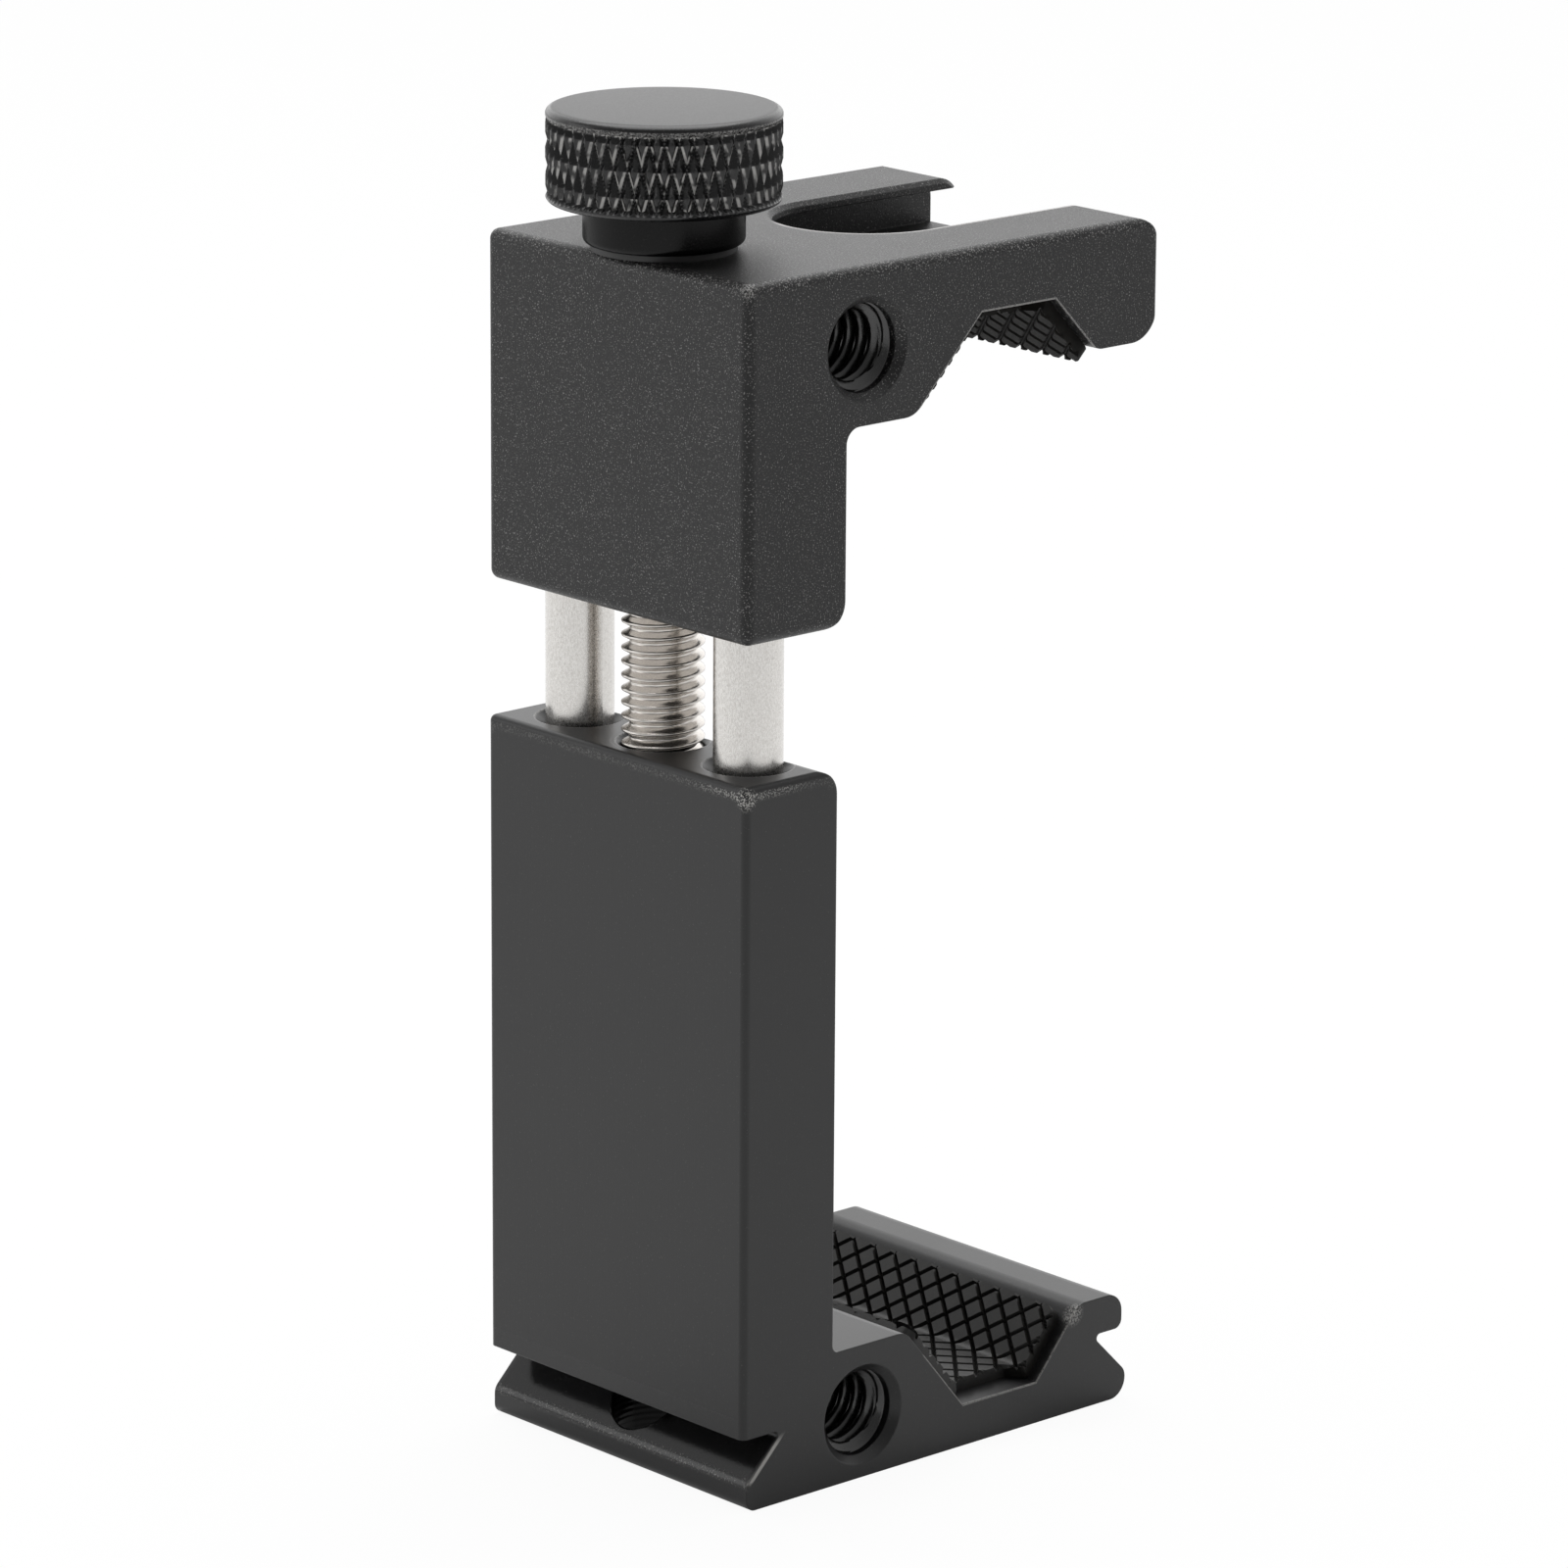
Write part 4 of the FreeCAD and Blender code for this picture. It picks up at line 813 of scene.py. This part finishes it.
@dataclass
class LeadScrew:
    """The lead screw with its right-hand thread of 1 mm pitch and its two ring grooves."""

    radius: float = 3.0 * MM
    pitch: float = 1.0 * MM
    depth: float = 0.6 * MM
    crest: float = 0.125
    root: float = 0.2
    tip_chamfer: float = 0.6 * MM
    groove_radius: float = 2.5 * MM
    groove_edge: float = 0.002 * MM
    sides: int = 64
    steps: int = 14

    def build(self, material: bpy.types.Material) -> bpy.types.Object:
        """Works out the screw as rings whose radius follows the thread.

        The radius is that of the crest, less the depth times what the thread's form lacks at the
        phase z / pitch - t / full turn. The chamfer and the ring grooves limit it.

        Args:
            material: The finish of the screw.

        Returns:
            The screw.
        """
        low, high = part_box("lead_screw")
        axis = (low.y + high.y) / 2
        thread_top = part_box("snap_ring")[0].z - self.pitch / 2
        grooves = [(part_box(ring)[0].z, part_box(ring)[1].z) for ring in ("screw_end_ring", "snap_ring")]
        count = int(round((high.z - low.z) / self.pitch * self.steps))
        edges = [z + side * self.groove_edge for pair in grooves for z in pair for side in (-1, 1)]
        levels = np.sort(np.concatenate([np.linspace(low.z, high.z, count), edges]))[:, None]
        turn = np.linspace(0, TURN, self.sides, endpoint=False)[None, :]
        form = thread_form(levels / self.pitch - turn / TURN, self.crest, self.root)
        threaded = self.radius - self.depth * (1 - form)
        radius = np.where(levels < thread_top, threaded, self.radius)
        radius = np.minimum(radius, self.radius - self.tip_chamfer + (levels - low.z))
        for bottom, top in grooves:
            in_groove = (levels > bottom) & (levels < top)
            radius = np.where(in_groove, self.groove_radius, radius)
        rings = np.stack([radius * np.cos(turn), axis + radius * np.sin(turn), levels + 0 * turn], axis=-1)
        points, faces = capped_rings(rings, np.array([0, axis, low.z]), np.array([0, axis, high.z]))
        return make_piece("lead_screw_threaded", points, faces, material, sharp=60.0)


@dataclass
class Knob:
    """The knob: a plain collar under a head with a diamond knurl between two rounded rims."""

    collar_radius: float = 5.75 * MM
    collar_height: float = 2.9 * MM
    collar_round: float = 0.5 * MM
    rim_height: float = 0.46 * MM
    rim_width: float = 0.7 * MM
    bore_radius: float = 3.01 * MM
    bore_depth: float = 7.5 * MM
    knurl_depth: float = 0.42 * MM
    knurl_ends: Span = (0.4 * MM, 0.6 * MM)
    knurl_fade: float = 0.3 * MM
    diamonds: int = 48
    diamond_height: float = 3.74 * MM
    flat: float = 0.2
    crossing: float = 0.94 * MM
    samples: int = 14
    knurl_rows: int = 90
    round_rows: int = 12

    def profile(self, low: float, high: float, radius: float) -> np.ndarray:
        """The knob's section, from the bottom of its bore round the outside to its top.

        Args:
            low: Height of the collar's bottom.
            high: Height of the top.
            radius: The head's radius.

        Returns:
            Pairs of radius and height. Both of the head's rims are quarters of an ellipse.
        """
        quarter = np.linspace(0, TURN / 4, self.round_rows)
        sine, cosine = np.sin(quarter), np.cos(quarter)
        head = low + self.collar_height
        core = radius - self.rim_width
        levels = np.linspace(head + self.rim_height, high - self.rim_height, self.knurl_rows)[1:-1]
        parts = [([self.bore_radius, self.bore_radius], [low + self.bore_depth, low]),
                 (self.collar_radius - self.collar_round * (1 - sine),
                  low + self.collar_round * (1 - cosine)),
                 ([self.collar_radius], [head]),
                 (core + self.rim_width * sine, head + self.rim_height * (1 - cosine)),
                 (np.full(len(levels), radius), levels),
                 (core + self.rim_width * cosine, high - self.rim_height * (1 - sine))]
        return np.concatenate([np.stack([np.array(part[0]), np.array(part[1])], axis=-1) for part in parts])

    def build(self, material: bpy.types.Material) -> bpy.types.Object:
        """Works out the knob as rings of its profile, cut by two sets of helical grooves.

        The depth at the turn t and the height z is the deeper of two V grooves, whose phases are the
        number of diamonds times t / full turn, plus and minus z / the height of a diamond. The depth
        fades out towards the plain rims. A point of the head lies at its profile's radius or at the
        knurl's, whichever is less.

        Args:
            material: The finish of the knob.

        Returns:
            The knob.
        """
        low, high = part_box("knob")
        axis = (low.y + high.y) / 2
        head_radius = (high.x - low.x) / 2
        rows = self.profile(low.z, high.z, head_radius)
        turn = np.linspace(0, TURN, self.diamonds * self.samples, endpoint=False)[None, :]
        level = rows[:, 1][:, None]
        around = self.diamonds * turn / TURN
        up = (level - (high.z - self.rim_height) + self.crossing) / self.diamond_height
        cuts = [1 - np.abs((around + side * up) % 1.0 - 0.5) * 2 for side in (1, -1)]
        away = np.minimum(1 - cuts[0], 1 - cuts[1])
        depth = self.knurl_depth * np.clip(1 - away / (1 - self.flat), 0.0, 1.0)
        start, end = low.z + self.collar_height + self.knurl_ends[0], high.z - self.knurl_ends[1]
        fade = np.clip(np.minimum(level - start, end - level) / self.knurl_fade, 0.0, 1.0)
        radius = np.minimum(rows[:, 0][:, None], head_radius - depth * fade)
        rings = np.stack([radius * np.cos(turn), axis + radius * np.sin(turn), level + 0 * turn], axis=-1)
        bore_end = np.array([0, axis, rows[0, 1]])
        points, faces = capped_rings(rings, bore_end, np.array([0, axis, high.z]))
        return make_piece("knob_knurled", points, faces, material, sharp=40.0)


@dataclass
class Grip:
    """A rubber lining of a jaw's groove, cut across both ways into raised diamonds."""

    node: str
    valley: Valley
    reach: float
    hole_radius: float = 0.0
    widening: float = 1.0 * MM
    floor_gap: float = 1.3 * MM
    gap_blend: float = 1.0 * MM
    thickness: float = 1.0 * MM
    corner_round: float = 1.0 * MM
    bend_round: float = 0.35 * MM
    pitch: float = 1.6 * MM
    cut_width: float = 0.4 * MM
    cut_depth: float = 0.4 * MM
    steps: int = 16

    @property
    def floor(self) -> Span:
        """Start and end of the groove's level floor along Y, in metres."""
        return self.valley.start * MM, self.valley.end * MM

    def paths(self) -> tuple[np.ndarray, np.ndarray]:
        """Side view of the grip, from its near to its far end.

        Returns:
            The corners on the metal and those on the rubber, each as an array of Y and Z.
        """
        low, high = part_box(self.node)
        far_y = high.y + self.reach
        start, end = self.floor
        level, sign = self.valley.floor * MM, self.valley.sign
        slope = math.radians(self.valley.angle)
        run, lift = math.cos(slope), sign * math.sin(slope)
        across, upward = self.thickness * math.sin(slope), sign * self.thickness * math.cos(slope)
        near_run = (start - low.y) / run
        far_run = (far_y - end) / run
        metal = np.array([(low.y, level + near_run * lift), (start, level),
                          (end, level), (far_y, level + far_run * lift)])
        lean = self.thickness * math.tan(slope / 2)
        rubber_level = level + sign * self.thickness
        rubber = np.array([(metal[0, 0] + across, metal[0, 1] + upward), (start + lean, rubber_level),
                           (end - lean, rubber_level), (metal[3, 0] - across, metal[3, 1] + upward)])
        return metal, rubber

    def outline(self, along: np.ndarray, across: np.ndarray, length: float, half: float,
                hole_at: float) -> np.ndarray:
        """Distance to the grip's edge on the unrolled surface, negative inside.

        The outline is a rectangle with rounded corners, drawn in on the groove's floor, less a round
        hole where there is one.

        Args:
            along: Places along the surface, from the near end.
            across: Places across it, from its middle.
            length: The unrolled length.
            half: Half the width.
            hole_at: Place of the floor's middle and of the hole along the surface.

        Returns:
            The distance at each place.
        """
        floor_start, floor_end = self.floor
        inside_floor = (floor_end - floor_start) / 2 - np.abs(along - hole_at)
        drawn_in = self.floor_gap * np.clip(inside_floor / self.gap_blend, 0.0, 1.0)
        side = np.abs(across) - (half - drawn_in - self.corner_round)
        end = np.abs(along - length / 2) - (length / 2 - self.corner_round)
        outside = np.hypot(np.maximum(side, 0), np.maximum(end, 0))
        distance = outside + np.minimum(np.maximum(side, end), 0) - self.corner_round
        if self.hole_radius:
            distance = np.maximum(distance, self.hole_radius - np.hypot(across, along - hole_at))
        return distance

    def build(self, material: bpy.types.Material) -> bpy.types.Object:
        """Works out the grip from a square grid on its unrolled surface.

        The grid's step divides the cuts' pitch, so that the cuts at 45 degrees run through its points.
        Squares outside the outline are left out, and the rim's points move onto it. A point's place is
        that on the rubber's side view, lowered towards the metal by the depth of the nearer cut.

        Args:
            material: The finish of the rubber.

        Returns:
            The grip.
        """
        metal, rubber = self.paths()
        low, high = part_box(self.node)
        half = (high.x - low.x) / 2 + self.widening
        step = self.pitch * math.sqrt(2) / self.steps
        runs = np.linalg.norm(np.diff(metal, axis=0), axis=1)
        marks = np.concatenate(([0.0], np.cumsum(runs)))
        length = float(marks[-1])
        hole_at = float(marks[1] + marks[2]) / 2
        rows = int(length / step) + 3
        columns = 2 * int(half / step) + 5
        along = (np.arange(rows) - (rows - 1) / 2)[:, None] * step + length / 2
        across = (np.arange(columns) - (columns - 1) / 2)[None, :] * step
        along, across = (along + 0 * across).ravel(), (across + 0 * along).ravel()
        quads = grid_quads(rows, columns, False, False)
        inside = self.outline(along, across, length, half, hole_at) < 0
        quads = quads[inside[quads].all(axis=1)]
        rim = rim_edges(quads)
        edge_points = np.unique(rim)
        along, across = self.onto_outline(along, across, edge_points, length, half, hole_at)
        middle = along - length / 2
        offsets = [np.abs(((middle + side * across) / (self.pitch * math.sqrt(2))) % 1.0 - 0.5)
                   for side in (1, -1)]
        nearer = np.minimum(*offsets) * self.pitch
        depth = self.cut_depth * np.clip(1 - nearer / (self.cut_width / 2), 0.0, 1.0)
        top, bottom = [self.placed(along, across, path, marks) for path in (rubber, metal)]
        surface = top + (bottom - top) * (depth / self.thickness)[:, None]
        heights = depth[quads]
        level_first = np.abs(heights[:, 0] - heights[:, 2]) <= np.abs(heights[:, 1] - heights[:, 3])
        one = np.where(level_first[:, None], quads[:, [0, 1, 2]], quads[:, [0, 1, 3]])
        other = np.where(level_first[:, None], quads[:, [0, 2, 3]], quads[:, [1, 2, 3]])
        upper = np.concatenate([one, other])
        count = len(along)
        lower = quads[:, ::-1] + count
        wall = np.stack([rim[:, 1], rim[:, 0], rim[:, 0] + count, rim[:, 1] + count], axis=-1)
        points = np.concatenate([surface, bottom])
        faces = [upper, lower, wall]
        if self.valley.sign > 0:
            faces = [part[:, ::-1] for part in faces]
        points, faces = without_loose_points(points, faces)
        return make_piece(self.node + "_cut", points, faces, material, sharp=28.0)

    def onto_outline(self, along: np.ndarray, across: np.ndarray, chosen: np.ndarray, length: float,
                     half: float, hole_at: float) -> tuple[np.ndarray, np.ndarray]:
        """Moves points onto the outline, along the slope of the distance to it.

        Args:
            along: Places along the surface.
            across: Places across it.
            chosen: Numbers of the points that move.
            length: The unrolled length.
            half: Half the width.
            hole_at: Place of the hole along the surface.

        Returns:
            All places along and across.
        """
        small = 0.001 * MM
        along, across = along.copy(), across.copy()
        for _ in range(2):
            u, v = along[chosen], across[chosen]
            here = self.outline(u, v, length, half, hole_at)
            rise_u = (self.outline(u + small, v, length, half, hole_at) - here) / small
            rise_v = (self.outline(u, v + small, length, half, hole_at) - here) / small
            steep = np.maximum(rise_u ** 2 + rise_v ** 2, 0.25)
            along[chosen] = u - here * rise_u / steep
            across[chosen] = v - here * rise_v / steep
        return along, across

    def placed(self, along: np.ndarray, across: np.ndarray, path: np.ndarray,
               marks: np.ndarray) -> np.ndarray:
        """Points in space of an unrolled surface, bent along a side view.

        The bends are rounded by the mean of the side view over a short stretch. The rounding fades
        out towards both ends.

        Args:
            along: Places along the surface.
            across: Places across it.
            path: The side view's corners, as Y and Z.
            marks: Places of these corners along the surface.

        Returns:
            One row of X, Y and Z for each place.
        """
        samples = np.linspace(-self.bend_round, self.bend_round, 7)
        at_end = np.minimum(along - marks[0], marks[-1] - along)
        share = np.clip(at_end / self.bend_round, 0.0, 1.0)
        places = [across]
        for corners in (path[:, 0], path[:, 1]):
            rounded = np.mean([np.interp(along + s, marks, corners) for s in samples], axis=0)
            places.append(share * rounded + (1 - share) * np.interp(along, marks, corners))
        return np.stack(places, axis=-1)


def rim_edges(quads: np.ndarray) -> np.ndarray:
    """Edges that only one quad has, as pairs of points in that quad's order."""
    pairs = np.concatenate([quads[:, [i, (i + 1) % 4]] for i in range(4)])
    index, count = np.unique(np.sort(pairs, axis=1), axis=0, return_index=True, return_counts=True)[1:]
    return pairs[index[count == 1]]


def without_loose_points(points: np.ndarray,
                         faces: list[np.ndarray]) -> tuple[np.ndarray, list[np.ndarray]]:
    """Drops points that no face uses, and renumbers the faces."""
    used = np.unique(np.concatenate([part.ravel() for part in faces]))
    number = np.zeros(len(points), dtype=np.int64)
    number[used] = np.arange(len(used))
    return points[used], [number[part] for part in faces]


def seat(piece: bpy.types.Object, body: Body, slot: Slot, *replaced: str) -> None:
    """Makes a piece ride on a body, and reports it.

    Args:
        piece: The piece.
        body: What it moves with.
        slot: Not used.
        replaced: The nodes that it stands for, if any.
    """
    if replaced:
        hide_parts(*replaced)
    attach(piece, body.value)
    LOG.info("%s rides on %s, %d faces", piece.name, body.value, len(piece.data.polygons))


def dress(nodes: dict[str, bpy.types.Object], name: str, material: bpy.types.Material) -> None:
    """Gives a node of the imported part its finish, and reports it.

    Args:
        nodes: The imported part's nodes by name.
        name: The node's name.
        material: Its finish.
    """
    node = nodes[name]
    node.data.materials.clear()
    node.data.materials.append(material)
    LOG.info("%s is dressed in %s", name, material.name)


def side_thread(jaw: str, name: str, centre: Span, inset: float = 1.15 * MM) -> ThreadedHole:
    """The thread that runs through a jaw along X, between its two countersinks."""
    low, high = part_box(jaw)
    return ThreadedHole(name, Along.X, centre, low.x + inset, high.x - inset)


def line_groove(grip: Grip, material: bpy.types.Material, body: Body) -> None:
    lining = grip.build(material)
    seat(lining, body, Slot.GRIP, grip.node)


@dataclass
class LowerHalf:
    """The lower jaw with its threads and its grip."""

    side_hole: Span = (-7.7 * MM, 4.8 * MM)
    tripod_hole_y: float = 6.05 * MM
    tripod_chamfer: float = 0.5 * MM
    tripod_fade: float = 0.3 * MM
    grip_hole: float = 3.8 * MM
    grip_reach: float = 0.1 * MM

    def build(self, nodes: dict[str, bpy.types.Object]) -> None:
        """Dresses the jaw and adds its threads and its grip.

        Args:
            nodes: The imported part's nodes by name.
        """
        dress(nodes, "lower_jaw", BrushedAnodise().build("lower_anodise"))
        cut = CutAnodise().build("lower_thread_anodise")
        side = side_thread("lower_jaw", "lower_side_thread", self.side_hole)
        tripod = ThreadedHole("tripod_thread", Along.Z, (0.0, self.tripod_hole_y), self.tripod_chamfer,
                              LOWER_GROOVE.floor * MM, fade=self.tripod_fade)
        for thread in (side, tripod):
            seat(thread.build(cut), Body.LOWER, Slot.LOWER)
        grip = Grip("lower_grip", LOWER_GROOVE, self.grip_reach, self.grip_hole)
        line_groove(grip, Rubber().build("grip_rubber"), Body.LOWER)


@dataclass
class UpperHalf:
    """The upper jaw with its rods, its thread, its grip and the thrust washer."""

    side_hole: Span = (-8.2 * MM, 83.6 * MM)
    grip_reach: float = 0.9 * MM

    def build(self, nodes: dict[str, bpy.types.Object]) -> None:
        """Dresses the jaw, the rods and the washer, and adds the thread and the grip.

        Args:
            nodes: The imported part's nodes by name.
        """
        dress(nodes, "upper_jaw", BlastedAnodise().build("upper_anodise"))
        rod = Steel().build("rod_steel")
        for name in ("guide_rod_left", "guide_rod_right"):
            dress(nodes, name, rod)
        dress(nodes, "thrust_washer", Matte().build("washer_plastic"))
        thread = side_thread("upper_jaw", "upper_side_thread", self.side_hole)
        seat(thread.build(CutAnodise().build("upper_thread_anodise")), Body.UPPER, Slot.UPPER)
        grip = Grip("upper_grip", UPPER_NOTCH, self.grip_reach)
        line_groove(grip, Rubber(gloss=0.12, roughness=0.6).build("upper_grip_rubber"), Body.UPPER)


@dataclass
class ScrewSet:
    """What turns: the lead screw, its two rings and the knob."""

    def build(self, nodes: dict[str, bpy.types.Object]) -> None:
        """Adds the screw and the knob, and dresses the rings.

        Args:
            nodes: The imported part's nodes by name.
        """
        steel = Steel(bright=(0.66, 0.63, 0.595), roughness=0.2, stretch=1.0, streaks=0.18)
        seat(LeadScrew().build(steel.build("screw_steel")), Body.SCREW, Slot.SCREW, "lead_screw")
        seat(Knob().build(TurnedAnodise().build("knob_anodise")), Body.SCREW, Slot.KNOB, "knob")
        spring = Matte(base=(0.16, 0.15, 0.14), roughness=0.35, metallic=1.0).build("spring_steel")
        for name in ("snap_ring", "screw_end_ring"):
            dress(nodes, name, spring)


@dataclass(frozen=True)
class Softbox:
    """A square soft lamp."""

    name: str
    place: Point
    size: float
    power: float

    def build(self, target: Point) -> None:
        """Hangs the lamp, hidden from the camera, so that it faces a target.

        Args:
            target: The place that it faces.
        """
        data = bpy.data.lights.new(self.name, "AREA")
        data.shape = "SQUARE"
        data.size = self.size
        data.energy = self.power
        lamp = bpy.data.objects.new(self.name, data)
        lamp.visible_camera = False
        lamp.location = self.place
        lamp.rotation_euler = (Vector(target) - Vector(self.place)).to_track_quat("-Z", "Y").to_euler()
        bpy.context.scene.collection.objects.link(lamp)


@dataclass
class Studio:
    """White floor and surroundings, two soft lamps, and the camera of the photograph."""

    azimuth: float = math.radians(47.741)
    elevation: float = math.radians(15.082)
    roll: float = math.radians(0.362)
    distance: float = 555.86 * MM
    target: Point = (0.0, -0.4 * MM, 55.0 * MM)
    target_pixel: Span = (828.56, 704.60)
    frame_pixels: float = 1600.0
    focal_pixels: float = 7805.1
    sensor: float = 36.0
    clip: Span = (0.01, 50.0)
    floor_size: float = 12.0
    floor_colour: Colour = (0.85, 0.85, 0.85)
    floor_glow: float = 0.94
    room_level: float = 0.72
    backdrop_level: float = 1.3
    dark_side: float = 0.5
    glossy_white: float = 0.2
    softboxes: tuple[Softbox, ...] = (Softbox("overhead_softbox", (-0.15, 0.1, 0.75), 0.7, 4.0),
                                      Softbox("left_softbox", (-0.7, -0.75, 0.35), 0.5, 0.8))

    def build(self) -> None:
        """Makes the floor, the world, the lamps and the camera."""
        self.floor()
        self.world()
        for softbox in self.softboxes:
            softbox.build(self.target)
        self.camera()
        bpy.context.scene.view_settings.view_transform = "Standard"

    def floor(self) -> None:
        """A white floor that keeps a faint shadow in the camera's view."""
        half = self.floor_size / 2
        corners = np.array([(-half, -half, 0), (half, -half, 0), (half, half, 0), (-half, half, 0)])
        shader = Shader("floor_white")
        seen = self.shown_white(shader)
        glow = shader.node("ShaderNodeEmission", {"Color": (1.0, 1.0, 1.0, 1.0), "Strength": 1.0})
        cloth = shader.node("ShaderNodeBsdfDiffuse", {"Color": (*self.floor_colour, 1.0)})
        surface = shader.node("ShaderNodeMixShader", {0: seen * self.floor_glow, 1: cloth, 2: glow})
        shader.node_output(surface)
        floor = make_piece("floor", corners, [np.array([[0, 1, 2, 3]])], shader.material)

    def shown_white(self, shader: Shader) -> Sock:
        """How white the surroundings are on a ray.

        Args:
            shader: The tree of the floor or the room.

        Returns:
            1 on rays from the camera and through glass, and less on rays of a glossy reflection.
        """
        camera, glossy, through = (shader.node("ShaderNodeLightPath", output=f"Is {kind} Ray")
                                   for kind in ("Camera", "Glossy", "Transmission"))
        return (camera + through + glossy * self.glossy_white).least(1.0)

    def world(self) -> None:
        """A pale room, brighter behind the object and darker on the camera's side.

        The level on a ray is the room's, plus the backdrop's where the ray points away from the
        camera's side, less the dark side's where it points there. The camera itself sees full white.
        """
        shader = Shader("room", bpy.data.worlds)
        bpy.context.scene.world = shader.material
        ray = shader.node("ShaderNodeTexCoord", output="Generated")
        away = (-math.sin(self.azimuth), math.cos(self.azimuth), 0.0)
        facing = shader.node("ShaderNodeVectorMath", {0: ray, 1: away}, "Value", operation="DOT_PRODUCT")
        level = (self.room_level + self.backdrop_level * facing.rise(0.1, 0.9)
                 - self.dark_side * facing.fall(-0.9, 0.0))
        seen = self.shown_white(shader)
        strength = seen + (1.0 - seen) * level
        sky = shader.node("ShaderNodeBackground", {"Strength": strength})
        shader.node_output(sky, "ShaderNodeOutputWorld")

    def camera(self) -> None:
        """The camera, placed so that the target falls on its pixel."""
        side, rise = self.azimuth, self.elevation
        back = Vector((math.sin(side) * math.cos(rise), -math.cos(side) * math.cos(rise), math.sin(rise)))
        level_right = Vector((math.cos(side), math.sin(side), 0.0))
        level_up = back.cross(level_right)
        right = level_right * math.cos(self.roll) + level_up * math.sin(self.roll)
        up = level_up * math.cos(self.roll) - level_right * math.sin(self.roll)
        scale = self.distance / self.focal_pixels
        middle = self.frame_pixels / 2
        place = (Vector(self.target) + back * self.distance
                 - right * (self.target_pixel[0] - middle) * scale
                 + up * (self.target_pixel[1] - middle) * scale)
        data = bpy.data.cameras.new("camera")
        data.sensor_width = self.sensor
        data.lens = self.focal_pixels / self.frame_pixels * self.sensor
        data.clip_start, data.clip_end = self.clip
        camera = bpy.data.objects.new("camera", data)
        turn = Matrix((right, up, back)).transposed().to_4x4()
        camera.matrix_world = Matrix.Translation(place) @ turn
        bpy.context.scene.collection.objects.link(camera)
        bpy.context.scene.camera = camera


def main() -> None:
    """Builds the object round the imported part, and then the studio."""
    logging.basicConfig(level=logging.INFO, format="%(name)s: %(message)s")
    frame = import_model()
    nodes = frame["nodes"]
    LowerHalf().build(nodes)
    UpperHalf().build(nodes)
    ScrewSet().build(nodes)
    Studio().build()


if __name__ == "__main__":
    main()
